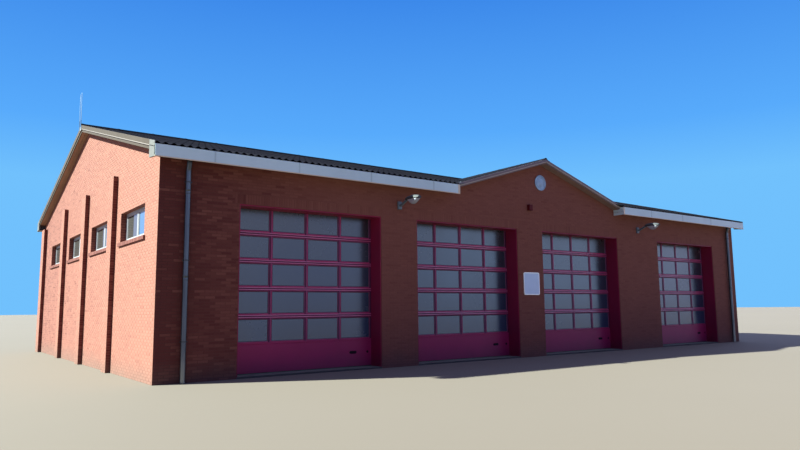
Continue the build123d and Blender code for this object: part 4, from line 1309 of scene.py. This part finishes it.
downpipe("rear_pipes", "rear_downpipes", [-pipe_x, pipe_x], 1)
wall_lamp("lamp_left", "wall_lamp_left")
wall_lamp("lamp_right", "wall_lamp_right")
alarm_box()
sign()
badge()
aerial()


# Floor, light and camera

def studio_floor():
    mesh = bpy.data.meshes.new("studio_floor")
    reach = 400
    mesh.from_pydata([(x * reach, y * reach, -0.002) for x, y in ((-1, -1), (1, -1), (1, 1), (-1, 1))],
                     [], [(0, 1, 2, 3)])
    floor = bpy.data.objects.new("studio_floor", mesh)
    bpy.context.scene.collection.objects.link(floor)
    painted("pale_floor", (0.135, 0.1, 0.083), (0.127, 0.094, 0.078), (0.85, 0.95), blotch=0.05,
            bump=(20.0, 0.0))
    mesh.materials.append(looks["pale_floor"])


def sun():
    """A hard sun from the left and behind."""
    turn = radians(25)
    rise = radians(38)
    towards_sun = Vector((-cos(turn) * cos(rise), sin(turn) * cos(rise), sin(rise)))
    light = bpy.data.lights.new("sun", "SUN")
    light.energy = 21.6
    light.angle = radians(1.2)
    light.color = (0.84, 1.0, 0.86)
    lamp = bpy.data.objects.new("sun", light)
    lamp.rotation_euler = towards_sun.to_track_quat("Z", "Y").to_euler()
    bpy.context.scene.collection.objects.link(lamp)


def sky_bands(tree, along, colour, bands):
    """Colours that follow each other along one direction of the sky."""
    for start, end, band_colour in bands:
        colour = mix_colours(tree, map_range(tree, along, start, end), colour, band_colour)
    return colour


def sky():
    """Blue light that fills the shade, and a banded sky for what mirrors it and for the backdrop."""
    world = bpy.data.worlds.new("pale_sky")
    world.use_nodes = True
    tree = world.node_tree
    tree.nodes.clear()
    heading = separate(tree, add_node(tree, "ShaderNodeTexCoord").outputs["Generated"])
    path = add_node(tree, "ShaderNodeLightPath").outputs
    mirrored = sky_bands(tree, heading["X"], (0.6, 0.76, 1.35), (
        (-0.25, -0.1, (1.1, 1.4, 2.0)), (0.25, 0.45, (0.6, 0.76, 1.35)),
        (0.53, 0.65, (1.0, 1.45, 2.3)), (0.79, 0.85, (1.02, 1.2, 1.85))))
    backdrop = sky_bands(tree, heading["Z"], (0.165, 0.53, 0.98), (
        (0.18, 0.26, (0.098, 0.405, 0.97)), (0.26, 0.44, (0.046, 0.25, 0.82))))
    shown = add_node(tree, "ShaderNodeBackground", {"Color": (0.08, 0.082, 0.31, 1)}).outputs[0]
    for kind, colour in (("Is Glossy Ray", mirrored), ("Is Camera Ray", backdrop)):
        light = add_node(tree, "ShaderNodeBackground", {"Color": colour}).outputs[0]
        shown = add_node(tree, "ShaderNodeMixShader", {0: path[kind], 1: shown, 2: light}).outputs[0]
    add_node(tree, "ShaderNodeOutputWorld", {0: shown})
    bpy.context.scene.world = world
    bpy.context.scene.view_settings.view_transform = "Standard"


def photo_camera():
    """The photograph's viewpoint: heading from +Y towards +X, then pitch, then roll."""
    heading, pitch, roll = radians(36.383), radians(7.2126), radians(-0.5795)
    forward = Vector((sin(heading) * cos(pitch), cos(heading) * cos(pitch), sin(pitch)))
    level = Vector((cos(heading), -sin(heading), 0))
    upright = level.cross(forward)
    side = level * cos(roll) + upright * sin(roll)
    top = upright * cos(roll) - level * sin(roll)
    data = bpy.data.cameras.new("photo_camera")
    data.sensor_width = 36
    data.lens = 29.606
    data.clip_end = 1000
    camera = bpy.data.objects.new("photo_camera", data)
    turn = Matrix((side, top, -forward)).transposed()
    camera.matrix_world = Matrix.Translation((-16.32737, -22.08903, 1.54692)) @ turn.to_4x4()
    bpy.context.scene.collection.objects.link(camera)
    bpy.context.scene.camera = camera


studio_floor()
sun()
sky()
photo_camera()
